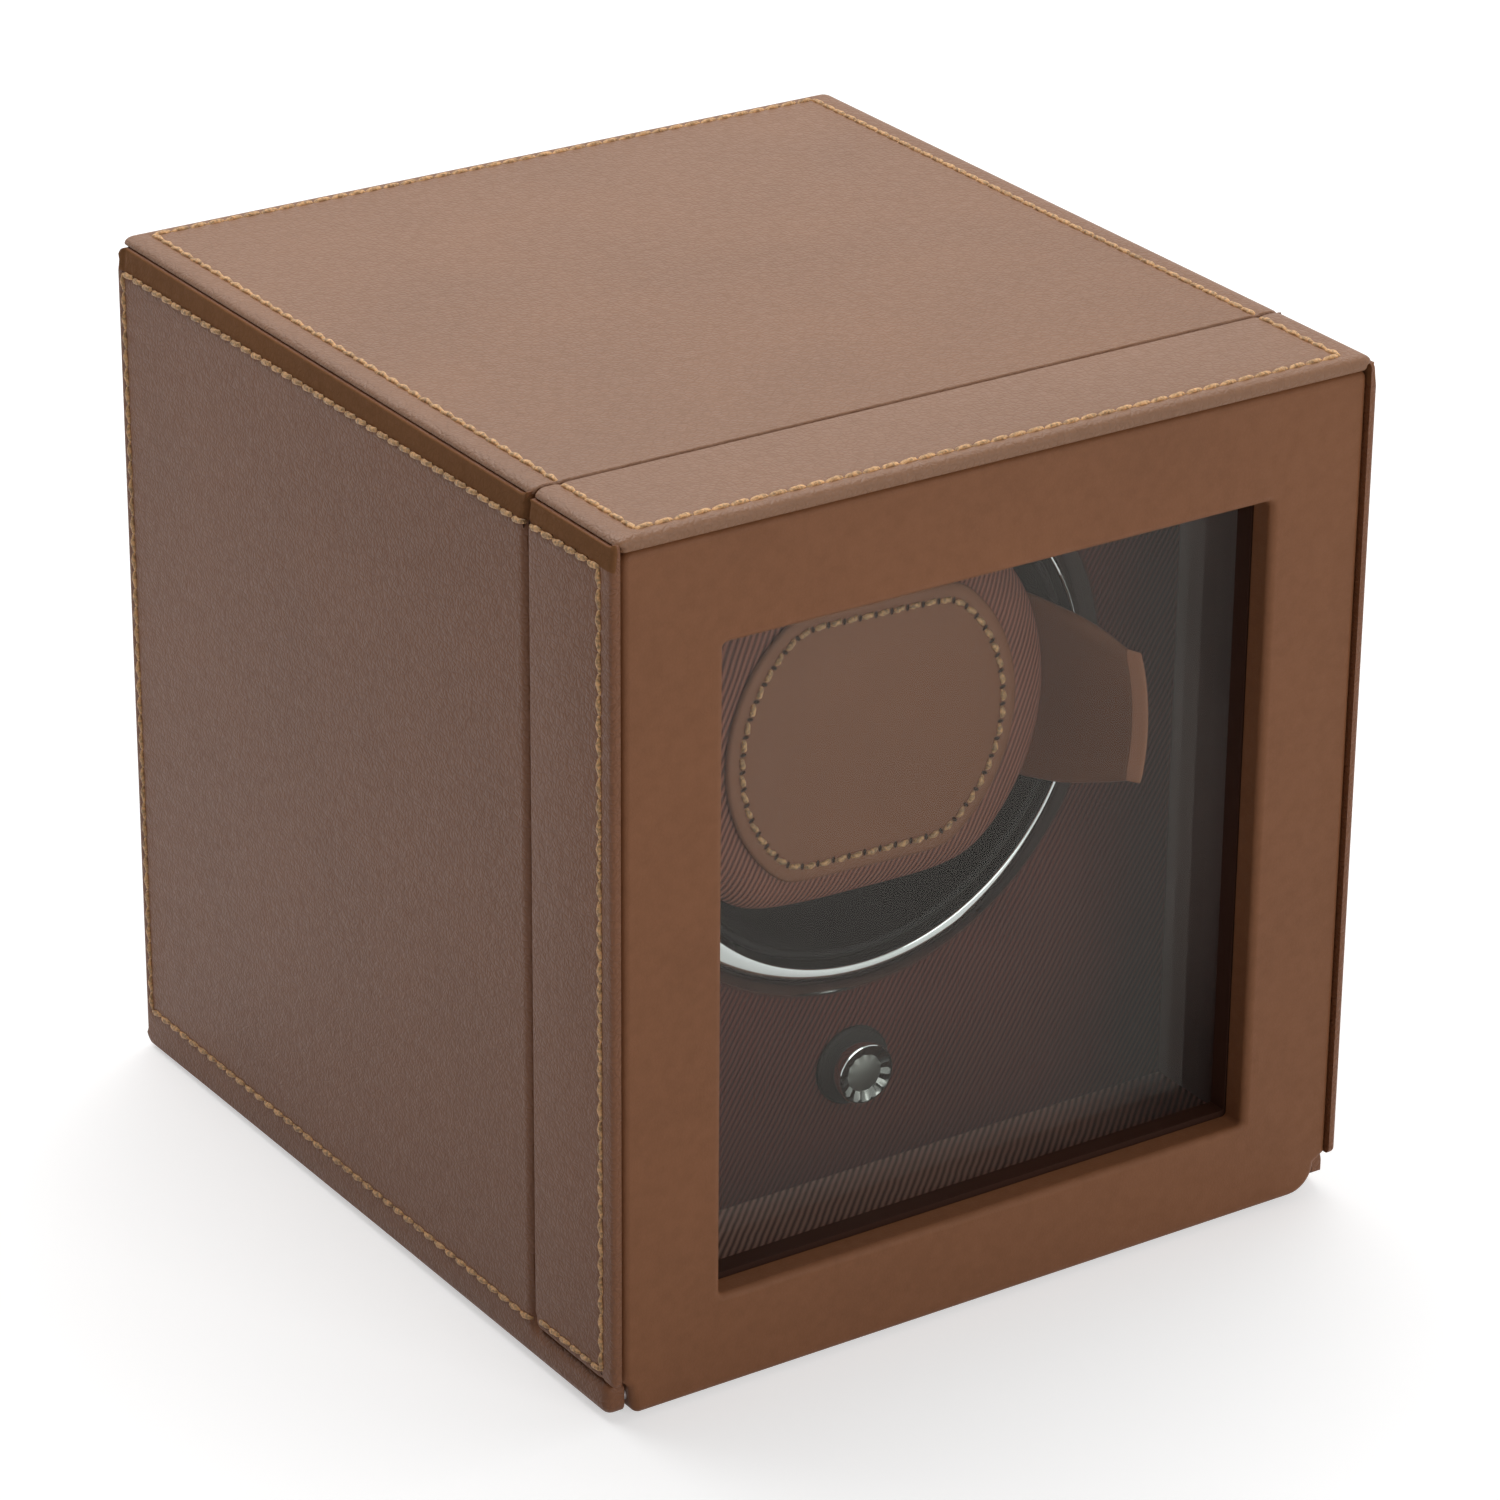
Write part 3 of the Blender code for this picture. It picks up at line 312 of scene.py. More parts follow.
class Nodes:
    """The node tree of a new material, or of a world, with short calls for its nodes."""

    def __init__(self, owner):
        if isinstance(owner, str):
            owner = bpy.data.materials.new(owner)
        owner.use_nodes = True
        self.material = owner
        self.tree = owner.node_tree
        self.shader = self.tree.nodes.get("Principled BSDF")

    def set(self, **values):
        for socket, value in values.items():
            self.shader.inputs[socket.replace("_", " ")].default_value = value

    def add(self, kind, inputs=(), **settings):
        node = self.tree.nodes.new("ShaderNode" + kind)
        for setting, value in settings.items():
            setattr(node, setting, value)
        for socket, value in dict(inputs).items():
            if isinstance(value, bpy.types.NodeSocket):
                self.tree.links.new(value, node.inputs[socket])
            else:
                node.inputs[socket].default_value = value
        return node

    def feed(self, socket, output):
        self.tree.links.new(output, self.shader.inputs[socket])

    def surface(self, shader):
        """Put another shader in the place of the principled one."""
        self.tree.nodes.remove(self.shader)
        output = self.tree.nodes["Material Output"]
        self.tree.links.new(shader.outputs[0], output.inputs["Surface"])

    def spot(self):
        return self.add("TexCoord").outputs["Object"]

    def stretched(self, vector, scale, turn=(0, 0, 0)):
        turned_by = tuple(radians(angle) for angle in turn)
        return self.add("Mapping", {"Vector": vector, "Scale": scale,
                                    "Rotation": turned_by}).outputs[0]

    def noise(self, vector, scale, detail, roughness=0.5):
        return self.add("TexNoise", {"Vector": vector, "Scale": scale, "Detail": detail,
                                     "Roughness": roughness}).outputs["Fac"]

    def math(self, operation, *values, clamp=False):
        return self.add("Math", dict(enumerate(values)), operation=operation,
                        use_clamp=clamp).outputs[0]

    def plus(self, first, second):
        return self.math("ADD", first, second)

    def times(self, first, second):
        return self.math("MULTIPLY", first, second)

    def wave(self, value, turns):
        """A sine wave between 0 and 1."""
        return self.math("MULTIPLY_ADD", self.math("SINE", self.times(value, turns)), 0.5, 0.5)

    def ramp(self, value, low, high, out_low=0.0, out_high=1.0, **settings):
        return self.add("MapRange", {"Value": value, "From Min": low, "From Max": high,
                                     "To Min": out_low, "To Max": out_high}, **settings).outputs[0]

    def mix(self, factor, first, second):
        return self.add("Mix", {0: factor, 6: first, 7: second}, data_type="RGBA").outputs[2]

    def bump(self, height, strength, distance_mm):
        return self.add("Bump", {"Height": height, "Strength": strength,
                                 "Distance": distance_mm * MM}).outputs["Normal"]

    def looked_at(self):
        """1 for a ray from the camera, off a glossy surface or through glass, otherwise 0."""
        paths = self.add("LightPath").outputs
        share = paths["Is Camera Ray"]
        for kind in ("Is Glossy Ray", "Is Transmission Ray"):
            share = self.math("MAXIMUM", share, paths[kind])
        return share


def leather(name, colour, grain_mm, grain, roughness=0.47, specular=0.5, mottling=0.05,
            relief_mm=0.1):
    """Corrected-grain leather: pebble, pores, creases, soft mottling and darker hollows."""
    nodes = Nodes(name)
    spot = nodes.spot()
    wander = nodes.noise(spot, 260.0, 2.0)
    drift = nodes.add("CombineXYZ", {"X": wander, "Y": wander, "Z": wander}).outputs[0]
    shifted = nodes.add("VectorMath", {0: drift, 1: (0.0012, 0.0012, 0.0012), 2: spot},
                        operation="MULTIPLY_ADD")
    cells = nodes.add("TexVoronoi", {"Vector": shifted.outputs[0], "Scale": 1000.0 / grain_mm},
                      feature="DISTANCE_TO_EDGE").outputs["Distance"]
    pebble = nodes.ramp(cells, 0.0, 0.22)
    pores = nodes.noise(spot, 4200.0, 2.0)
    creases = nodes.noise(nodes.stretched(spot, (1.0, 1.0, 1.35)), 900.0, 3.0, 0.6)
    height = nodes.plus(nodes.times(pebble, 0.55), nodes.times(creases, 0.7))
    height = nodes.plus(height, nodes.times(pores, min(0.18, 0.4 * grain)))
    nodes.feed("Normal", nodes.bump(height, grain, relief_mm))

    fine = nodes.noise(spot, 520.0, 3.0)
    shade = nodes.plus(nodes.ramp(nodes.noise(spot, 34.0, 3.0), 0.3, 0.7, -0.05, 0.05),
                       nodes.ramp(fine, 0.3, 0.7, -mottling, mottling))
    valley = nodes.times(nodes.math("SUBTRACT", 1.0, pebble), -0.10 * grain)
    shade = nodes.plus(nodes.plus(shade, valley), 0.5)
    nodes.feed("Roughness", nodes.ramp(nodes.plus(fine, nodes.times(pebble, 0.2)), 0.3, 0.9,
                                       roughness + 0.06, roughness - 0.06))
    nodes.feed("Base Color", nodes.mix(shade, toned(colour, 0.55), toned(colour, 1.45)))
    nodes.set(Specular_IOR_Level=specular)
    return nodes.material


def thread(name, colour):
    """Waxed twisted thread: fine slanted plies and a soft shine."""
    nodes = Nodes(name)
    spot = nodes.spot()
    plies = nodes.noise(spot, 1900.0, 2.0)
    shade = nodes.plus(nodes.ramp(plies, 0.35, 0.65, 0.05, 0.8),
                       nodes.ramp(nodes.noise(spot, 160.0, 2.0), 0.3, 0.7, -0.08, 0.12))
    nodes.feed("Base Color", nodes.mix(shade, toned(colour, 0.4), toned(colour, 1.35)))
    nodes.feed("Normal", nodes.bump(plies, 0.5, 0.06))
    nodes.set(Roughness=0.5)
    return nodes.material


def twill(name, warp, weft, facing, pitch_mm, slope, contrast, relief, cross=0.25):
    """Diagonal twill on a flat face: ribs that slope at an angle, broken by the cross yarns."""
    nodes = Nodes(name)
    spot = nodes.spot()
    flat = nodes.stretched(spot, (1, 1, 1), {"Y": (90, 0, 0), "Z": (0, 0, 0)}[facing])
    sloped = nodes.stretched(flat, (1, 1, 1), (0, 0, slope))
    parts = nodes.add("SeparateXYZ", {0: sloped}).outputs
    wobble = nodes.times(nodes.ramp(nodes.noise(spot, 160.0, 2.0), 0.0, 1.0, -0.5, 0.5),
                         0.5 * pitch_mm * MM)
    across = nodes.plus(parts[0], wobble)
    turns = 2 * pi / (pitch_mm * MM)
    rib = nodes.wave(across, turns)
    yarn = nodes.wave(nodes.plus(parts[1], nodes.times(across, 0.55)), turns * 1.9)
    height = nodes.plus(nodes.times(rib, 1.0 - cross), nodes.times(yarn, cross))
    fibres = nodes.noise(spot, 3200.0, 2.0)
    height = nodes.plus(height, nodes.times(fibres, 0.24 * relief ** 2))
    nodes.feed("Normal", nodes.bump(height, relief, 0.05))
    base = nodes.ramp(nodes.noise(spot, 60.0, 2.0), 0.3, 0.7, 0.42 - contrast / 2,
                      0.54 - contrast / 2)
    tone = nodes.math("ADD", nodes.times(height, contrast), base, clamp=True)
    nodes.feed("Base Color", nodes.mix(tone, toned(warp), toned(weft)))
    nodes.set(Roughness=0.8, Specular_IOR_Level=0.12)
    return nodes.material


def moulded(name, colour, roughness, texture_mm=0.4, strength=0.25, specular=0.5):
    """Moulded plastic or rubber with a fine spark-eroded texture and handling marks."""
    nodes = Nodes(name)
    spot = nodes.spot()
    smears = nodes.noise(spot, 45.0, 3.0)
    nodes.feed("Normal", nodes.bump(nodes.noise(spot, 1000.0 / texture_mm, 2.0), strength, 0.04))
    nodes.feed("Base Color", nodes.mix(smears, toned(colour, 0.85), toned(colour, 1.2)))
    nodes.feed("Roughness", nodes.ramp(smears, 0.3, 0.7, roughness - 0.05, roughness + 0.06))
    nodes.set(Specular_IOR_Level=specular)
    return nodes.material


def painted_light_lining(name, outside, inside):
    """Smooth lining: dark in front of the pane; behind it a far lighter colour, painted light and
    sheen on the inner walls.
    """
    nodes = Nodes(name)
    spot = nodes.spot()
    depth = nodes.add("SeparateXYZ", {0: spot}).outputs[1]
    behind = nodes.ramp(depth, place(0, PANE_FRONT, 0).y, place(0, PANE_BACK, 0).y)
    clouds = nodes.ramp(nodes.noise(spot, 40.0, 3.0), 0.3, 0.7)
    front, rear = (nodes.mix(clouds, toned(colour, 0.85), toned(colour))
                   for colour in (outside, inside))
    nodes.feed("Base Color", nodes.mix(behind, front, rear))
    nodes.feed("Normal", nodes.bump(nodes.noise(spot, 1400.0, 2.0), 0.1, 0.04))
    nodes.set(Roughness=0.6, Specular_IOR_Level=0.25)
    return nodes.material


def metal(name, colour, roughness, brushed_mm=0.0):
    """Metal: polished with faint smears, or brushed along its length."""
    nodes = Nodes(name)
    spot = nodes.spot()
    smears = nodes.noise(spot, 90.0, 3.0)
    nodes.feed("Roughness", nodes.ramp(smears, 0.3, 0.7, roughness * 0.8, roughness * 1.3))
    nodes.feed("Base Color", nodes.mix(smears, toned(colour, 0.92), toned(colour, 1.08)))
    if brushed_mm:
        lines = nodes.noise(nodes.stretched(spot, (1.0, 0.05, 1.0)), 1000.0 / brushed_mm, 2.0)
        nodes.feed("Normal", nodes.bump(lines, 0.3, 0.03))
    nodes.set(Metallic=1.0)
    return nodes.material


COATED = 0.30                # the share of its reflection that coated glass keeps
HAZE = 0.012                 # the share of light that each face of it scatters


def pane(name):
    """Clear glass that lets lamps through: a see-through sheet with its own reflection."""
    nodes = Nodes(name)
    smears = nodes.noise(nodes.spot(), 55.0, 3.0)
    clear = nodes.add("BsdfTransparent", {"Color": nodes.mix(smears, (0.94, 0.955, 0.95, 1.0),
                                                             (0.96, 0.975, 0.97, 1.0))})
    gloss = nodes.add("BsdfGlossy", {"Color": (1.0, 0.93, 0.86, 1.0), "Roughness": 0.0})
    leaving = nodes.add("NewGeometry").outputs["Backfacing"]
    edge = nodes.add("Fresnel", {"IOR": nodes.ramp(leaving, 0.0, 1.0, 1.5, 1 / 1.5)})
    coated = nodes.times(edge.outputs[0], COATED)
    both = nodes.add("MixShader", {0: coated, 1: clear.outputs[0], 2: gloss.outputs[0]})
    dust = nodes.add("BsdfDiffuse", {"Color": (0.95, 0.84, 0.78, 1.0)})
    nodes.surface(nodes.add("MixShader", {0: HAZE, 1: both.outputs[0], 2: dust.outputs[0]}))
    return nodes.material


def make_materials():
    """Every finish: its maker, then what the maker takes after the name, in the same order."""
    recipes = {
        # Side leather: the tan darkened by about a tenth, painted shade on the side, rear and base
        # boards.
        "leather_side": (leather, (0.222, 0.086, 0.0355), 1.0, 0.9, 0.47, 0.34, 0.05, 0.15),
        # Band leather: a duller copy with almost no sheen, painted shade for the band under the
        # top's overhang.
        "leather_fold": (leather, (0.245, 0.109, 0.046), 1.0, 0.5, 0.6, 0.03),
        # Top leather: the tan with its green and blue raised, a painted grey sheen on the tops.
        "leather_top": (leather, (0.248, 0.110, 0.046), 1.1, 0.7, 0.47, 0.58, 0.05, 0.15),
        "leather_front": (leather, (0.246, 0.099, 0.042), 0.6, 0.3, 0.52, 0.25),
        "leather_patch": (leather, (0.250, 0.094, 0.040), 0.9, 0.03, 0.5, 0.3, 0.015, 0.04),
        "leather_tab": (leather, (0.215, 0.080, 0.036), 0.9, 0.04, 0.45, 0.3, 0.02, 0.04),
        "leather_edge": (leather, (0.42, 0.17, 0.085), 0.9, 0.04, 0.5, 0.3, 0.02),
        "thread": (thread, (0.72, 0.41, 0.18)),
        # Needle holes: near black, painted shade in holes that are only shallow dimples.
        "needle_hole": (moulded, (0.035, 0.013, 0.005), 0.8, 0.4, 0.25, 0.1),
        "twill_face": (twill, (0.022, 0.007, 0.006), (0.200, 0.056, 0.041), "Y", 1.0, -32, 0.7,
                       0.0, 0.0),
        "twill_floor": (twill, (0.09, 0.043, 0.033), (0.72, 0.42, 0.32), "Z", 1.02, 45, 1.0, 0.3),
        "twill_pad": (twill, (0.06, 0.021, 0.015), (0.42, 0.16, 0.105), "Y", 0.95, -24, 0.85,
                      0.2, 0.1),
        # The lining's lighter colour behind the pane is painted light on the inner walls.
        "lining": (painted_light_lining, (0.034, 0.010, 0.004), (0.34, 0.27, 0.25)),
        "black": (moulded, (0.016, 0.010, 0.008), 0.5, 0.4, 0.25, 0.25),
        "black_gloss": (moulded, (0.006, 0.006, 0.006), 0.4, 3.0, 0.015, 0.1),
        "collar": (moulded, (0.020, 0.018, 0.015), 0.5, 0.8, 0.06, 0.25),
        "rubber": (moulded, (0.015, 0.015, 0.015), 0.8),
        "nylon": (moulded, (0.72, 0.70, 0.64), 0.45),
        "board": (moulded, (0.01, 0.10, 0.04), 0.35, 1.2, 0.4),
        "jacket": (moulded, (0.03, 0.03, 0.035), 0.3, 0.5, 0.1),
        "chrome": (metal, (0.67, 0.68, 0.67), 0.05),
        "dark_chrome": (metal, (0.19, 0.195, 0.18), 0.2),
        "satin_chrome": (metal, (0.25, 0.255, 0.23), 0.4),
        "steel": (metal, (0.58, 0.58, 0.60), 0.32, 0.25),
        "brass": (metal, (0.72, 0.50, 0.22), 0.3, 0.2),
        "glass": (pane,),
    }
    return {name: maker(name, *values) for name, (maker, *values) in recipes.items()}


# Leather boards


LEAN_CUTS = (141.9, 142.4, 143.0)
LEAN_DEPTH = 0.5


def lean(z, seam):
    """How far a board's upper band leans in between its seam and its top edge."""
    share = max(0.0, z - seam) / (SIDE_TOP - seam)
    return LEAN_DEPTH * (1.35 * share - 0.35 * share * share)


CORNER_REACH = 2.0
CORNER_RISE = 0.8
CORNER_CUTS = (0.9, 1.4, 2.0)


def raise_corner(shape, end):
    """Lift a board's upper corner to close the groove under the top at its end."""
    for vert in shape.verts:
        away = vert.co.y / MM + DEPTH / 2 - end
        up = vert.co.z / MM - (SIDE_TOP - 1.0)
        if away < CORNER_REACH and up > 0:
            share = 0.5 + 0.5 * cos(pi * max(0.0, away) / CORNER_REACH)
            vert.co.z += CORNER_RISE * share * min(1.0, up) * MM


def paint_band_shade(board, material, seam):
    """Paint shade on the band above a board's upper seam: a duller copy of the leather, without
    sheen, for the shade under the top's overhang.
    """
    board.data.materials.append(material)
    for face in board.data.polygons:
        if face.center.z > (seam + 0.3) * MM and abs(face.normal.x) > 0.25:
            face.material_index = 1


STRIP_TAPER = 6.5            # the right strip gives way to the cover's rounded corner
STRIP_NARROW = 1.3
STRIP_RISE = 2.2
STRIP_CUTS = (2.7, 3.5, 4.5, 5.5, 6.5, 7.5, 8.5)


def make_side(side, materials):
    """A side board: it leans in above the upper seam, towards the groove under the top."""
    outer = side * WIDTH / 2
    inner = side * (WIDTH / 2 - SIDE_BOARD)
    outline = rounded([(PLINTH_FRONT, UNDERSIDE, STRIP_CORNER), (DEPTH, UNDERSIDE, 2.2),
                       (DEPTH, SIDE_TOP, 2.4), (CASE_FRONT, SIDE_TOP, JOINT_ROUND),
                       (CASE_FRONT, PLINTH_TOP, STRIP_CORNER),
                       (PLINTH_FRONT, PLINTH_TOP, STRIP_CORNER)])
    shape = extruded(outline, *sorted((inner, outer)))

    def outermost(spot):
        return abs(spot.x - outer) < 0.01

    bevel_where(shape, REAR_ROUND, lambda spot: outermost(spot) and spot.y > DEPTH - 0.1)
    bevel_where(shape, SIDE_ROUND, lambda spot: (outermost(spot) and spot.z < SIDE_TOP - 0.1
                                                 and spot.y < DEPTH - 2.5))
    bevel_where(shape, 0.35, lambda spot: outermost(spot) and spot.z > SIDE_TOP - 0.1)
    ledge = HEIGHT - BOARD_TOP - GAP
    slice_at(shape, "Z", [*seam_cuts(SIDE_SEAM_TOP), *LEAN_CUTS, ledge, ledge + 0.02,
                          *seam_cuts(SIDE_SEAM_LOW)])
    slice_at(shape, "Y", seam_cuts(SIDE_SEAM_REAR))
    slice_at(shape, "Y", [CASE_FRONT + cut for cut in CORNER_CUTS])
    for vert in shape.verts:
        if vert.co.z > (ledge + 0.01) * MM and abs(vert.co.x - inner * MM) < 0.01 * MM:
            vert.co.x = side * (WIDTH / 2 - WING_BOARD) * MM

    def sunk(spot):
        low = channel(spot.z - SIDE_SEAM_LOW) if spot.y < SIDE_SEAM_REAR + ON_LINE else 0.0
        rear = channel(spot.y - SIDE_SEAM_REAR) if spot.z > SIDE_SEAM_LOW - ON_LINE else 0.0
        top = channel(spot.z - SIDE_SEAM_TOP) if spot.y < SIDE_SEAM_REAR + ON_LINE else 0.0
        if spot.y < CASE_FRONT:
            return 0.0
        return max(low, rear, top) + lean(spot.z, SIDE_SEAM_TOP)

    reached = max(WIDTH / 2 - 1.75, side * inner + 0.1)
    press(shape, Vector((-side, 0, 0)), lambda spot: side * spot.x > reached, sunk)
    if side > 0:
        slice_at(shape, "Y", STRIP_CUTS)
        for vert in shape.verts:
            left = 1 - (vert.co.y / MM + DEPTH / 2 - PLINTH_FRONT) / STRIP_TAPER
            if left > 0:
                vert.co.x = min(vert.co.x, (WIDTH / 2 - STRIP_NARROW * left) * MM)
                vert.co.z = max(vert.co.z, (UNDERSIDE + STRIP_RISE * left ** 2) * MM)
    raise_corner(shape, CASE_FRONT)
    word = SIDE_WORDS[side]
    board = finish_shape("side_board_" + word, shape, materials["leather_side"])
    paint_band_shade(board, materials["leather_fold"], SIDE_SEAM_TOP)
    stand_in(board, "case", "side_panel_" + word)


def make_wing(side, materials):
    outer = side * WIDTH / 2
    inner = side * (WIDTH / 2 - WING_BOARD)
    outline = rounded([(0.0, WING_LOW, WING_ROUND), (COVER_DEPTH, WING_LOW, 2.0),
                       (COVER_DEPTH, SIDE_TOP, JOINT_ROUND), (0.0, SIDE_TOP, WING_ROUND)])
    shape = extruded(outline, *sorted((inner, outer)))
    bevel_where(shape, WING_ROUND,
                lambda spot: abs(spot.x - outer) < 0.01 and spot.z < SIDE_TOP - 0.1)
    bevel_where(shape, 0.3, lambda spot: abs(spot.x - outer) < 0.01 and spot.z > SIDE_TOP - 0.1)
    slice_at(shape, "Z", [*seam_cuts(WING_SEAM_TOP), *LEAN_CUTS, *seam_cuts(WING_SEAM_LOW)])
    slice_at(shape, "Y", [*seam_cuts(WING_SEAM_FRONT), *CORNER_CUTS])

    def sunk(spot):
        low = channel(spot.z - WING_SEAM_LOW) if spot.y > WING_SEAM_FRONT - ON_LINE else 0.0
        front = channel(spot.y - WING_SEAM_FRONT) if spot.z < WING_SEAM_TOP + ON_LINE else 0.0
        top = channel(spot.z - WING_SEAM_TOP) if spot.y > WING_SEAM_FRONT - ON_LINE else 0.0
        return max(low, front, top) + lean(spot.z, WING_SEAM_TOP)

    press(shape, Vector((-side, 0, 0)), lambda spot: side * spot.x > WIDTH / 2 - 1.0, sunk)
    if side < 0:
        raise_corner(shape, 0.0)
    word = SIDE_WORDS[side]
    board = finish_shape("wing_board_" + word, shape, materials["leather_side"])
    paint_band_shade(board, materials["leather_fold"], WING_SEAM_TOP)
    stand_in(board, "cover", "cover_wing_" + word)


OVERHANG = 0.7               # the rolled sides of the top stand out over a groove
ROLL_DROP = 1.1
SIDE_ROLL = 2.0
END_ROLL = 1.4
JOINT_ROLL = 0.4


def roll_section():
    """The edge of a top board in rows: inset of its sides, free end and joint, and drop."""
    rows = [(OVERHANG, 0.35, 0.1, BOARD_TOP), (OVERHANG, 0.05, 0.0, BOARD_TOP - 0.4),
            (OVERHANG, 0.0, 0.0, ROLL_DROP + 0.35)]
    for angle in (70, 40, 0):
        curl = radians(angle)
        rows.append((OVERHANG * (1 - cos(curl)), 0.0, 0.0, ROLL_DROP + 0.3 * sin(curl)))
    steps = 8
    for step in range(1, steps + 1):
        angle = pi / 2 * step / steps
        inset = 1 - cos(angle)
        rows.append((SIDE_ROLL * inset, END_ROLL * inset, JOINT_ROLL * inset,
                     ROLL_DROP * (1 - sin(angle))))
    return rows


def rolled_board(name, joint, end, material):
    """A top board between the joint with its neighbour and its free end, both as depths."""
    shape = bmesh.new()
    away = 1 if end > joint else -1
    rings = []
    for side_in, end_in, joint_in, drop in roll_section():
        half = WIDTH / 2 - WING_BOARD - GAP + OVERHANG - side_in
        near, far = joint + away * joint_in, end - away * end_in
        tight, wide = 1.0 - 0.3 * side_in, 1.4 - 0.4 * side_in
        outline = rounded([(-half, near, tight), (half, near, tight), (half, far, wide),
                           (-half, far, wide)])
        rings.append([shape.verts.new(place(x, depth, HEIGHT - drop)) for x, depth in outline])
    loft(shape, rings)
    bmesh.ops.recalc_face_normals(shape, faces=shape.faces)
    seam_end = TOP_SEAM_REAR if away > 0 else COVER_SEAM_FRONT
    slice_at(shape, "X", seam_cuts(TOP_SEAM) + seam_cuts(-TOP_SEAM))
    slice_at(shape, "Y", seam_cuts(seam_end))

    def sunk(spot):
        inside = away * (seam_end - spot.y) > -ON_LINE
        sides = channel(abs(spot.x) - TOP_SEAM) if inside else 0.0
        across = channel(spot.y - seam_end) if abs(spot.x) < TOP_SEAM + ON_LINE else 0.0
        return max(sides, across)

    press(shape, Vector((0, 0, -1)), lambda spot: spot.z > HEIGHT - 0.3, sunk)
    return finish_shape(name, shape, material)


def make_tops(materials):
    board = rolled_board("top_board", CASE_FRONT, DEPTH, materials["leather_top"])
    stand_in(board, "case", "top_panel")
    board = rolled_board("cover_top_board", COVER_DEPTH, 0.0, materials["leather_top"])
    stand_in(board, "cover", "cover_top")


def make_front_board(materials):
    """The smooth leather round the window, rolled over its outer and inner edges."""
    wide = WIDTH / 2 - WING_BOARD - FRAME_FIT
    shy = WIDTH / 2 - WING_BOARD - SHADOW_GAP
    top = HEIGHT - BOARD_TOP - GAP
    step = PLINTH_TOP + 0.5
    ear = FRAME_EAR - 0.6
    low = step - (shy - FRAME_EAR)
    outer = rounded([(-shy, top, 2.0), (-shy, step, 0.0), (-FRAME_EAR, low, 0.0),
                     (-ear, FRAME_BOTTOM, FRAME_CORNER_LEFT),
                     (ear, FRAME_BOTTOM, FRAME_CORNER_RIGHT), (FRAME_EAR, low, 0.0),
                     (wide, step, 0.0), (wide, top, 1.4)])
    window = rounded([(-WINDOW_LEFT, WINDOW_LOW, 0.8), (WINDOW_RIGHT, WINDOW_LOW, 0.8),
                      (WINDOW_RIGHT, WINDOW_HIGH, 0.8), (-WINDOW_LEFT, WINDOW_HIGH, 0.8)])
    curve = bpy.data.curves.new("front_board", "CURVE")
    curve.dimensions = "2D"
    curve.fill_mode = "BOTH"
    curve.extrude = (FRAME_BACK - FRAME_FRONT) / 2 * MM
    for ring in (outer, window):
        spline = curve.splines.new("POLY")
        spline.points.add(len(ring) - 1)
        for point, (u, v) in zip(spline.points, ring):
            point.co = (u * MM, v * MM, 0.0, 1.0)
        spline.use_cyclic_u = True
    drawn = link("front_board_outline", curve)
    graph = bpy.context.evaluated_depsgraph_get()
    mesh = bpy.data.meshes.new_from_object(drawn.evaluated_get(graph))
    bpy.data.objects.remove(drawn)
    shape = bmesh.new()
    shape.from_mesh(mesh)
    bpy.data.meshes.remove(mesh)
    bmesh.ops.remove_doubles(shape, verts=shape.verts, dist=1e-6)
    bmesh.ops.dissolve_degenerate(shape, dist=1e-6, edges=shape.edges)
    middle = (FRAME_FRONT + FRAME_BACK) / 2
    upright = (Matrix.Translation(place(0, middle, 0))
               @ Matrix.Rotation(radians(90), 4, "X"))
    bmesh.ops.transform(shape, matrix=upright, verts=shape.verts)
    bmesh.ops.recalc_face_normals(shape, faces=shape.faces)
    bevel_where(shape, FRAME_ROUND, lambda spot: spot.y < middle - 0.5, 6)
    board = finish_shape("front_board", shape, materials["leather_front"], 50.0)
    board.modifiers.new("Even shading", "WEIGHTED_NORMAL").keep_sharp = True
    stand_in(board, "cover", "front_frame")


# Stitching


def add_hole(shape, spot, along, outward):
    """The needle hole that a stitch dives into, drawn across the seam: a shallow dimple, dark with
    painted shade.
    """
    aside = outward.cross(along)
    centre = spot + outward * (HOLE_HEIGHT * MM) + aside * (HOLE_SHIFT * MM)
    ring = [shape.verts.new(centre + along * (HOLE_ALONG * MM * cos(angle))
                            + aside * (HOLE_ACROSS * MM * sin(angle)))
            for angle in angles(10)]
    middle = shape.verts.new(centre - outward * (0.15 * MM))
    for before, after in zip(ring, ring[1:] + ring[:1]):
        shape.faces.new((before, after, middle)).material_index = 1


def add_stitch(shape, start, end, outward, slant):
    """One plump two-ply stitch that dives into the leather at both ends."""
    along = (end - start).normalized()
    aside = outward.cross(along)
    length = (end - start).length
    rings = []
    stations, sides = 9, 8
    for station in range(stations + 1):
        share = station / stations
        rise = sin(pi * share)
        girth = STITCH_RADIUS * MM * (0.6 + 0.4 * rise ** 0.6)
        centre = start + along * (length * share)
        centre += aside * (slant * MM * (share - 0.5))
        centre += outward * ((0.42 * rise ** 0.5 - 0.26) * MM)
        ring = []
        for angle in angles(sides):
            reach = girth * (1.0 + 0.14 * cos(2 * (angle - 5.0 * share)))
            ring.append(shape.verts.new(centre + aside * (reach * cos(angle))
                                        + outward * (0.85 * reach * sin(angle))))
        rings.append(ring)
    loft(shape, rings)


def walk(points, pitch):
    """Points a stitch apart along a path, the pitch eased so that they end on its end."""
    lengths = [(after - before).length for before, after in zip(points, points[1:])]
    total = sum(lengths)
    count = max(1, round(total / (pitch * MM)))
    marks = []
    for index in range(count + 1):
        left = total * index / count
        for leg, (before, after) in enumerate(zip(points, points[1:])):
            if left <= lengths[leg] + 1e-9 or leg == len(lengths) - 1:
                marks.append(before + (after - before) * (left / lengths[leg]))
                break
            left -= lengths[leg]
    return marks


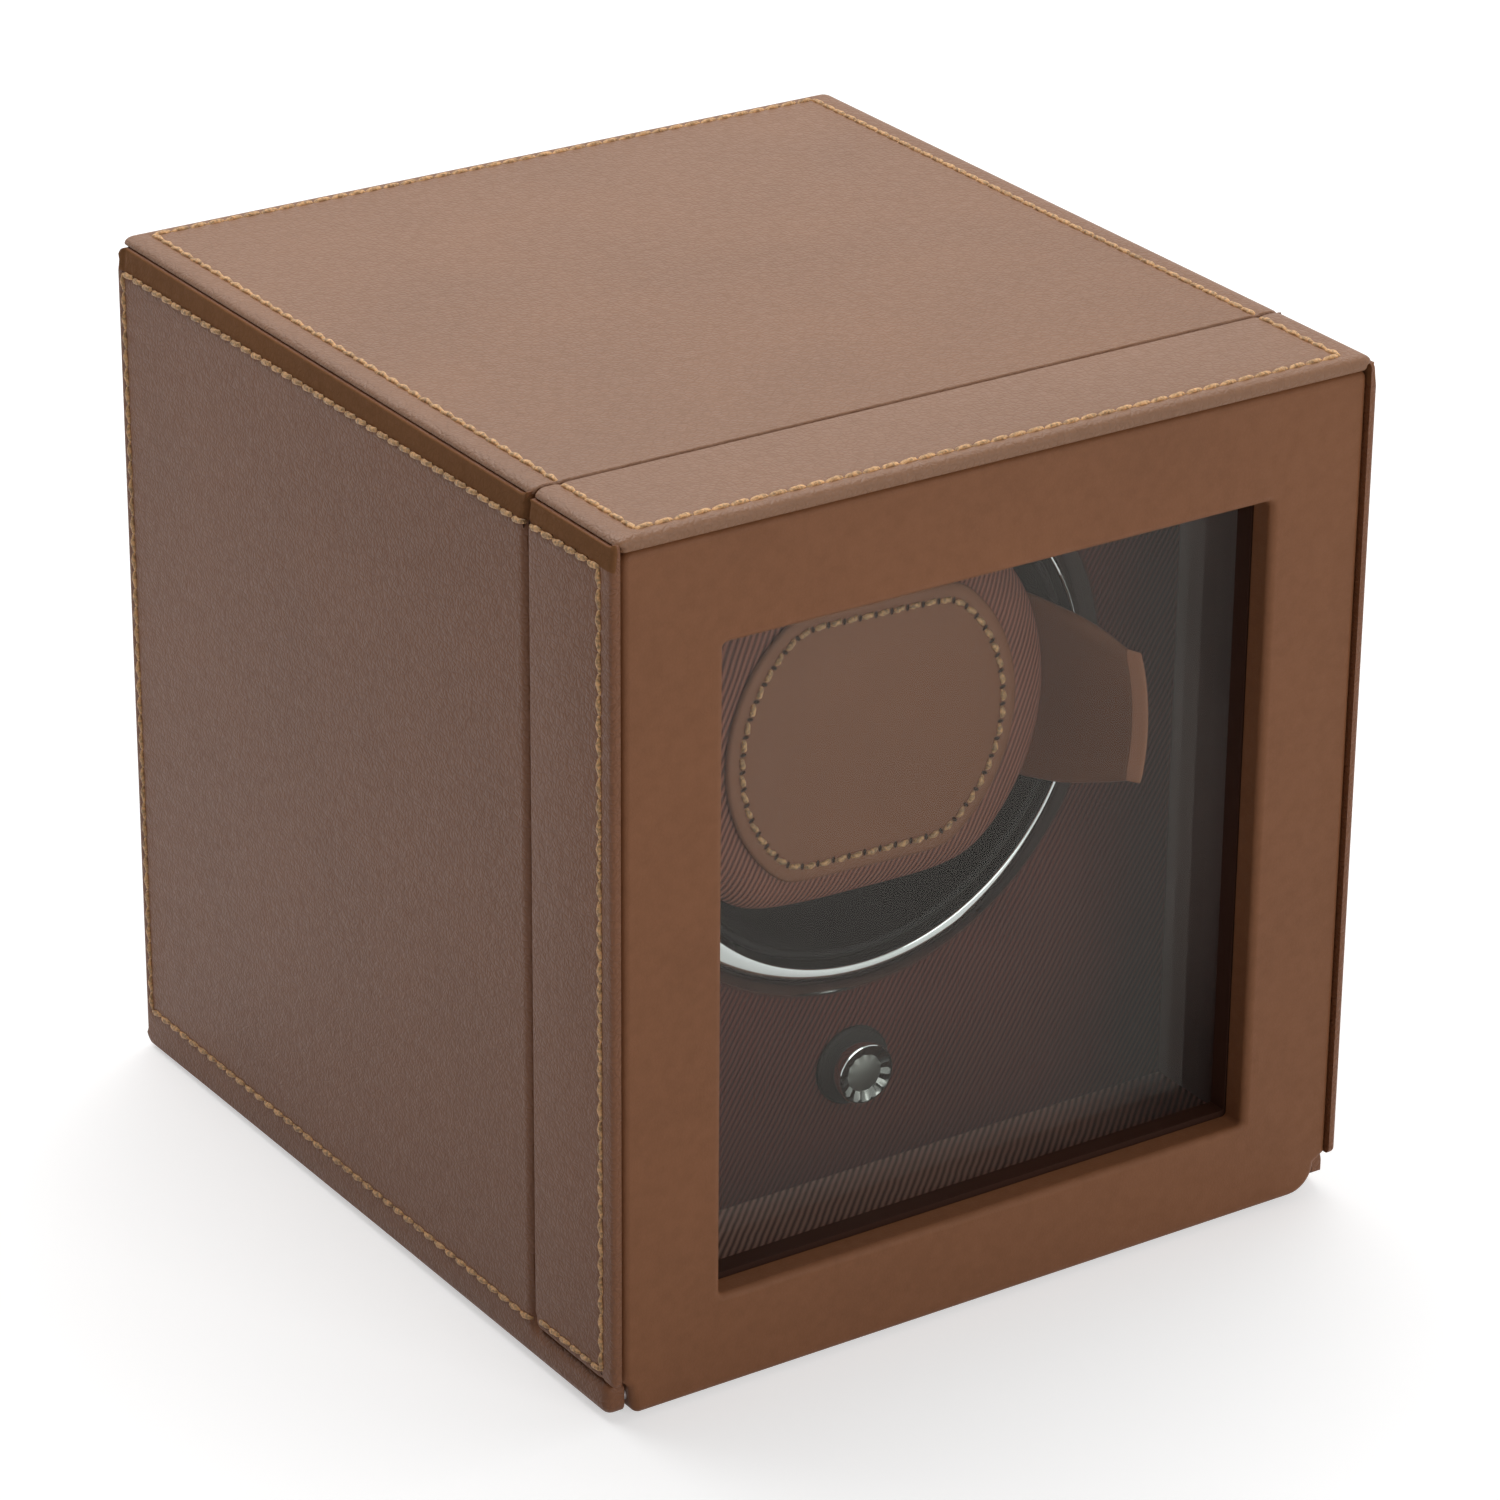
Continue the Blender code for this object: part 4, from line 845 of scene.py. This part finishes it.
def stitch_runs(name, runs, materials, body, slant=0.35, pitch=STITCH_PITCH, gap=-0.04):
    """A seam as one piece; each run is (path, outward direction), gap a share of the pitch."""
    shape = bmesh.new()
    for path, outward in runs:
        marks = walk(path, pitch)
        for index, (before, after) in enumerate(zip(marks, marks[1:])):
            rest = (after - before) * (gap / 2)
            wander = smooth_noise(Vector((index * 0.7, before.x * 90, before.z * 90)))
            add_stitch(shape, before + rest, after - rest, outward, slant * (1 + 0.6 * wander))
            add_hole(shape, before, (after - before).normalized(), outward)
    seam = finish_shape(name, shape, materials["thread"], 60.0)
    seam.data.materials.append(materials["needle_hole"])
    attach(seam, body)


def sew(name, corners, outward, materials, body):
    """Straight runs of stitches from corner to corner."""
    runs = [([first, second], outward) for first, second in zip(corners, corners[1:])]
    stitch_runs(name, runs, materials, body)


def make_seams(materials):
    for side, word in SIDE_WORDS.items():
        out = Vector((side, 0, 0))
        x = side * (WIDTH / 2 - SEAM_DEPTH)
        start = CASE_FRONT + SEAM_START
        sew("side_seam_" + word,
            [place(x, start, SIDE_SEAM_TOP), place(x, SIDE_SEAM_REAR, SIDE_SEAM_TOP),
             place(x, SIDE_SEAM_REAR, SIDE_SEAM_LOW), place(x, start, SIDE_SEAM_LOW)],
            out, materials, "case")
        sew("wing_seam_" + word,
            [place(x, COVER_DEPTH - SEAM_START, WING_SEAM_TOP),
             place(x, WING_SEAM_FRONT, WING_SEAM_TOP), place(x, WING_SEAM_FRONT, WING_SEAM_LOW),
             place(x, COVER_DEPTH - WING_SEAM_END, WING_SEAM_LOW)], out, materials, "cover")
    z = HEIGHT - SEAM_DEPTH
    for name, start, end, body in (("top_seam", CASE_FRONT + SEAM_START, TOP_SEAM_REAR, "case"),
                                   ("cover_seam", COVER_DEPTH - SEAM_START, COVER_SEAM_FRONT,
                                    "cover")):
        sew(name, [place(-TOP_SEAM, start, z), place(-TOP_SEAM, end, z),
                   place(TOP_SEAM, end, z), place(TOP_SEAM, start, z)],
            Vector((0, 0, 1)), materials, body)


# Drum and cuff


def cuff_spot(x, depth, z):
    """A point of the cuff, given before it is turned with the drum; z is from the drum's axis."""
    turn = radians(CUFF_TURN)
    return place(x * cos(turn) + z * sin(turn), depth,
                 DRUM_HEIGHT - x * sin(turn) + z * cos(turn))


def cuff_ring(radius, flat, corner, depth, steps):
    """Points round the cuff's axis: a circle cut by two flats, its corners softened."""
    points = []
    for turn in angles(steps):
        limit = flat / max(1e-6, abs(sin(turn)))
        reach = (radius ** -corner + limit ** -corner) ** (-1 / corner)
        points.append(cuff_spot(reach * cos(turn), depth, reach * sin(turn)))
    return points


def cuff_skin(name, profile, radius, flat, corner, material, steps):
    """A closed skin from (radius, depth) points; radius and flat are those of its rim."""
    shape = bmesh.new()
    rings = []
    for reach, depth in profile:
        points = cuff_ring(reach, max(1.0, flat - (radius - reach)), corner, depth, steps)
        rings.append([shape.verts.new(point) for point in points])
    bands(shape, rings)
    shape.faces.new(rings[-1])
    shape.faces.new(rings[0])
    return finish_shape(name, shape, material, 50.0)


def make_patch(materials):
    """The leather patch, flat, with its edge rolled and a sewn channel."""
    profile = [(PATCH_RADIUS, PATCH_BACK), (PATCH_RADIUS, PATCH_FRONT + 0.5),
               (PATCH_RADIUS - 0.15, PATCH_FRONT + 0.2), (PATCH_RADIUS - 0.5, PATCH_FRONT)]
    seam = PATCH_RADIUS - PATCH_SEAM
    for offset in (1.2, 0.7, 0.35, 0.0, -0.35, -0.7, -1.2):
        profile.append((seam + offset, PATCH_FRONT + 0.9 * channel(offset)))
    profile += [(seam - 4.0, PATCH_FRONT), (12.0, PATCH_FRONT), (4.0, PATCH_FRONT)]
    patch = cuff_skin("cuff_patch_leather", profile, PATCH_RADIUS, PATCH_FLAT, PATCH_CORNER,
                      materials["leather_patch"], PATCH_STEPS)
    stand_in(patch, "drum", "cuff_patch")
    path = cuff_ring(seam, PATCH_FLAT - PATCH_SEAM, PATCH_CORNER, PATCH_FRONT + 0.1, PATCH_STEPS)
    stitch_runs("patch_seam", [(path + path[:1], Vector((0, -1, 0)))], materials, "drum", 0.3,
                PATCH_PITCH, 0.30)


def make_pad(materials):
    """The twill pad: a crowned cushion round the patch that rolls back into the drum."""
    insets = ((4.4, 40.9), (1.6, 40.6), (0.5, 39.9), (0.1, 39.0), (0.3, 38.0), (1.0, 37.0),
              (2.2, 36.1), (3.9, 35.4), (6.0, 35.0), (8.6, 34.85))
    profile = [(PAD_RADIUS - inset, depth) for inset, depth in insets]
    profile += [(14.0, 34.8), (4.0, 34.8)]
    pad = cuff_skin("cuff_pad_cloth", profile, PAD_RADIUS, PAD_FLAT, PAD_CORNER,
                    materials["twill_pad"], 192)
    for vert in pad.data.vertices:
        depth = vert.co.y / MM + DEPTH / 2
        if 34.9 < depth < 40.5:
            swell = smooth_noise(vert.co * 95.0) * 0.22 + smooth_noise(vert.co * 230.0) * 0.08
            vert.co.y -= swell * MM * 0.6
    stand_in(pad, "drum", "cuff_pad")


TAB_END = 18.5
TAB_ROUND = 0.15
TAB_LIP = 0.35               # thickness at the lip
TAB_SLANT = 1.0              # the lip leans back towards its upper edge
TAB_SLIM_FROM = 26.0
TAB_EDGE = 20.6              # the turned edge is lighter in front of this depth
TAB_STATIONS = ((18.5, 41.6, 10.8), (20.6, 40.3, 10.9), (24.0, 38.9, 12.4), (30.0, 36.8, 14.6),
                (37.5, 34.7, 15.6), (39.5, 34.4, 15.6), (42.0, 34.2, 9.0), (52.0, 34.2, 8.0),
                (66.0, 34.2, 8.0))


def tab_section(depth):
    """Radius and half height of a tab at a depth, eased between its stations."""
    for (low, radius_a, half_a), (high, radius_b, half_b) in zip(TAB_STATIONS, TAB_STATIONS[1:]):
        if depth <= high:
            share = (depth - low) / (high - low)
            return radius_a + (radius_b - radius_a) * share, half_a + (half_b - half_a) * share
    return TAB_STATIONS[-1][1:]


def make_tab(side, materials):
    """A leather-wrapped tab: a curved tongue with rolled edges and a lip that flares outwards."""
    depths = [TAB_END + step for step in (0.0, 0.02, 0.06, 0.15, 0.8, 1.5)]
    depths += [TAB_EDGE, 21.5, 23.0, 25.0, 27.0, 29.0, 31.0, 33.0, 35.0, 37.5, 38.5, 39.5,
               40.7, 42.0, 47.0, 52.0, 59.0, 66.0]
    shape = bmesh.new()
    rings = []
    across, roll = 18, 6
    inside = [(2 * step / across - 1, 0.0) for step in range(across + 1)]
    upper = [(1.0, step / roll) for step in range(1, roll)]
    around = [*inside, *upper, *((-share, 1.0) for share, _ in inside),
              *((-1.0, 1 - level) for _, level in upper)]
    for depth in depths:
        radius, half = tab_section(depth)
        left = min(TAB_ROUND, max(0.0, TAB_ROUND - (depth - TAB_END)))
        inset = TAB_ROUND - sqrt(max(0.0, TAB_ROUND ** 2 - left ** 2))
        slimmed = max(0.0, min(1.0, (TAB_SLIM_FROM - depth) / (TAB_SLIM_FROM - TAB_END)))
        thick = TAB_THICKNESS - (TAB_THICKNESS - TAB_LIP) * slimmed - 2 * inset
        ring = []
        for share, level in around:
            edge = max(0.0, (abs(share) - 0.92) / 0.08) ** 2
            slim = edge * thick * 0.2
            reach = radius + inset + slim + level * (thick - 2 * slim)
            z = share * (half - inset - 0.7)
            if abs(share) == 1.0:
                z += share * 0.7 * sin(pi * level) ** 0.7
            x = side * sqrt(reach ** 2 - z ** 2)
            slant = TAB_SLANT * max(0.0, min(1.0, (28.0 - depth) / 7.0)) * share
            ring.append(shape.verts.new(cuff_spot(x, depth + slant, z)))
        rings.append(ring)
    loft(shape, rings)
    word = SIDE_WORDS[side]
    tab = finish_shape("tab_leather_" + word, shape, materials["leather_tab"], 60.0)
    tab.data.materials.append(materials["leather_edge"])
    for index, face in enumerate(tab.data.polygons):
        if index < len(around) * depths.index(TAB_EDGE):
            face.material_index = 1
    stand_in(tab, "tab_" + word, "cuff_tab_" + word)


def make_bezel(materials):
    """The bright ring: a narrow lip that falls away in a convex flare over the face."""
    flare = arc_profile((0.0, 0.0), 1.0, 90, 0, 14)
    flare = [(BEZEL_LIP_RADIUS + (BEZEL_OUTER - BEZEL_LIP_RADIUS) * across,
              BEZEL_LIP + (BEZEL_FOOT - BEZEL_LIP) * (1.0 - up)) for across, up in flare]
    profile = [(FACE_HOLE - 0.4, FACE_BACK - 0.2), (FACE_HOLE - 0.4, FACE_FRONT - GAP),
               (BEZEL_OUTER, FACE_FRONT - GAP), *reversed(flare),
               *arc_profile((BEZEL_LIP_RADIUS, BEZEL_LIP + 0.35), 0.35, -110, -180, 5),
               (BEZEL_LIP_RADIUS - 0.35, FACE_BACK - 0.2)]
    ring = turned("bezel_polished", profile, materials["chrome"], 192)
    stand_in(ring, "case", "bezel_ring")


def make_drum(materials):
    """The black cup: a smooth wall with a rolled mouth, the floor and its spigot."""
    wall = [(8.0, HUB_BACK), (8.0, DRUM_BACK), (DRUM_OUTER - 1.5, DRUM_BACK),
            (DRUM_OUTER, DRUM_BACK - 1.5), (DRUM_OUTER, DRUM_FRONT + 0.5)]
    mouth = arc_profile(((DRUM_OUTER + DRUM_INNER) / 2, DRUM_FRONT + 0.8), 0.8, 0, -180, 8)
    inside = [(DRUM_INNER, DRUM_FLOOR - 1.5), (DRUM_INNER - 1.5, DRUM_FLOOR),
              (SPIGOT_RADIUS, DRUM_FLOOR), (SPIGOT_RADIUS, SPIGOT_FRONT + 0.5),
              (SPIGOT_RADIUS - 0.5, SPIGOT_FRONT), (SHAFT_BORE, SPIGOT_FRONT),
              (SHAFT_BORE, HUB_BACK)]
    cup = turned("drum_shell", wall + mouth + inside, materials["black_gloss"], 160)
    stand_in(cup, "drum", "drum_cup")


KNOB_FACETS = 12
KNOB_CUTS = 8
KNOB_RIDGE = 0.5


def make_knob(materials):
    """The knob: a thin polished rim, a ring of bright facets and a satin middle."""
    shape = bmesh.new()
    steps = KNOB_FACETS * KNOB_CUTS
    profile = [(2.4, 46.8), (2.4, 37.6), (4.9, 37.6), (5.15, 37.2), (5.2, 34.6), (5.14, 34.42),
               (5.0, 34.34), (4.85, 34.36), (4.5, 34.5), (3.2, 34.95), (2.9, 34.9), (2.0, 34.72),
               (1.0, 34.6), (0.3, 34.58)]
    loops = []
    for radius, depth in profile:
        loop = []
        for step, angle in enumerate(angles(steps)):
            ridge = 0.0
            if 3.0 < radius < 4.6 and depth < 36.0:
                fold = abs((step % KNOB_CUTS) / KNOB_CUTS - 0.5) - 0.25
                ridge = KNOB_RIDGE * fold * radius / 4.5
            loop.append(shape.verts.new(place(radius * cos(angle), depth + ridge,
                                              KNOB_HEIGHT + radius * sin(angle))))
        loops.append(loop)
    for first, second, (radius, _) in zip(loops, loops[1:], profile[1:]):
        for step in range(steps):
            after = (step + 1) % steps
            face = shape.faces.new((first[step], first[after], second[after], second[step]))
            if first is not loops[0]:
                face.material_index = 1 if radius < 3.0 else 2 if radius > 4.9 else 0
    shape.faces.new(loops[0])
    shape.faces.new(loops[-1]).material_index = 1
    knob = finish_shape("knob_polished", shape, materials["dark_chrome"], 12.0)
    knob.data.materials.append(materials["satin_chrome"])
    knob.data.materials.append(materials["chrome"])
    stand_in(knob, "knob", "control_knob")


# Finishes of the pieces kept from the frame


KEPT = {
    "leather_side": ("rear_panel", "base_board"),
    "twill_face": ("module_face",),
    "twill_floor": ("floor_lining",),
    "lining": ("inner_case", "cover_liner"),
    "black": ("chassis", "battery_holder", "battery_door", "switch_body", "dc_inlet",
              "cuff_core"),
    "collar": ("knob_collar",),
    "rubber": ("foot_front_left", "foot_front_right", "foot_rear_left", "foot_rear_right"),
    "steel": ("case_magnet_left", "case_magnet_right", "cover_magnet_left", "cover_magnet_right",
              "chassis_screw_1", "chassis_screw_2", "chassis_screw_3", "chassis_screw_4",
              "gearbox_screw_1", "gearbox_screw_2", "hinge_pin_left", "hinge_pin_right",
              "drum_shaft", "shaft_clip", "gearbox", "motor_can"),
    "brass": ("bush_front", "bush_rear", "cell_contact_left", "cell_contact_right", "motor_pinion"),
    "nylon": ("drum_gear",),
    "board": ("control_board",),
    "jacket": ("cell_left", "cell_right"),
    "glass": ("glass_pane",),
}


def dress_kept_nodes(nodes, materials):
    for finish, names in KEPT.items():
        for name in names:
            slots = nodes[name].data.materials
            slots.clear()
            slots.append(materials[finish])


# Floor and light


FLOOR_HALF = 2.6
FLOOR_GREY = 0.68
FLOOR_LIFT = 0.54            # what the floor shows the camera beside the light on it
SKY = 0.03                   # the studio's dim surroundings
REAR_GLOW = 0.60             # a lit backdrop behind the winder
RIGHT_GLOW = 0.75            # and one to its right
GLOW_EDGE = 0.45             # each fades in between these cosines from its middle
GLOW_CORE = 0.92
# Each lamp: name, place, what it points at, size and watts
LAMPS = (("overhead", (0.05, 0.35, 1.27), (0, 0, 0.05), (1.2, 0.9), 8.7),
         ("rear_left", (-0.3, 0.75, 1.1), (0, 0, 0.05), (0.8, 0.6), 2.7),
         ("front_fill", (0.15, -1.4, 0.6), (0, 0, 0.08), (0.8, 0.8), 6.5))


def make_floor():
    """A pale floor that shows white to the camera and keeps the winder's shadow."""
    nodes = Nodes("white_floor")
    diffuse = nodes.add("BsdfDiffuse", {"Color": toned([FLOOR_GREY] * 3)})
    glow = nodes.add("Emission", {"Color": (1, 1, 1, 1),
                                  "Strength": nodes.times(nodes.looked_at(), FLOOR_LIFT)})
    nodes.surface(nodes.add("AddShader", {0: diffuse.outputs[0], 1: glow.outputs[0]}))
    mesh = bpy.data.meshes.new("floor")
    corners = [(x * FLOOR_HALF, y * FLOOR_HALF, 0) for x, y in ((-1, -1), (1, -1), (1, 1), (-1, 1))]
    mesh.from_pydata(corners, [], [(0, 1, 2, 3)])
    mesh.materials.append(nodes.material)
    link("floor", mesh)


def make_world():
    """A white background; what falls on the winder comes from the rear and from the right."""
    world = bpy.data.worlds.new("studio")
    bpy.context.scene.world = world
    nodes = Nodes(world)
    direction = nodes.add("TexCoord").outputs["Generated"]

    def glow(towards, strength):
        dot = nodes.add("VectorMath", {0: direction, 1: Vector(towards).normalized()},
                        operation="DOT_PRODUCT").outputs["Value"]
        return nodes.ramp(dot, GLOW_EDGE, GLOW_CORE, 0.0, strength,
                          interpolation_type="SMOOTHSTEP")

    glows = nodes.plus(glow((0.60, 0.75, 0.42), REAR_GLOW), glow((0.92, 0.10, 0.42), RIGHT_GLOW))
    level = nodes.add("Mix", {"Factor": nodes.looked_at(), "A": nodes.plus(glows, SKY), "B": 1.0})
    background = nodes.tree.nodes["Background"]
    background.inputs["Color"].default_value = (1.0, 1.0, 1.0, 1.0)
    nodes.tree.links.new(level.outputs["Result"], background.inputs["Strength"])


def make_lights():
    for name, spot, target, size, power in LAMPS:
        data = bpy.data.lights.new(name, "AREA")
        data.shape = "RECTANGLE"
        data.size, data.size_y = size
        data.energy = power
        lamp = link(name, data)
        lamp.location = spot
        aim = Vector(target) - Vector(spot)
        lamp.rotation_euler = aim.to_track_quat("-Z", "Y").to_euler()


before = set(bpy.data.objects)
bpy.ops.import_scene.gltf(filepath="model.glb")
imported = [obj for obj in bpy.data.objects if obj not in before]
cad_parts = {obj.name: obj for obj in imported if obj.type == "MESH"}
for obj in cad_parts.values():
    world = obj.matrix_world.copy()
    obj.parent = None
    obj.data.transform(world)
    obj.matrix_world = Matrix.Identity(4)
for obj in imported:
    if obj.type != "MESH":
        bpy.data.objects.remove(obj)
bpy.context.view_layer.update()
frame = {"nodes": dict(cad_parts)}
bpy.context.scene.view_settings.view_transform = "Standard"
make_camera()
materials = make_materials()
dress_kept_nodes(frame["nodes"], materials)
for make in (make_side, make_wing):
    for side in SIDE_WORDS:
        make(side, materials)
for make in (make_tops, make_front_board, make_seams, make_bezel, make_drum, make_pad, make_patch):
    make(materials)
for side in SIDE_WORDS:
    make_tab(side, materials)
make_knob(materials)
make_floor()
make_world()
make_lights()
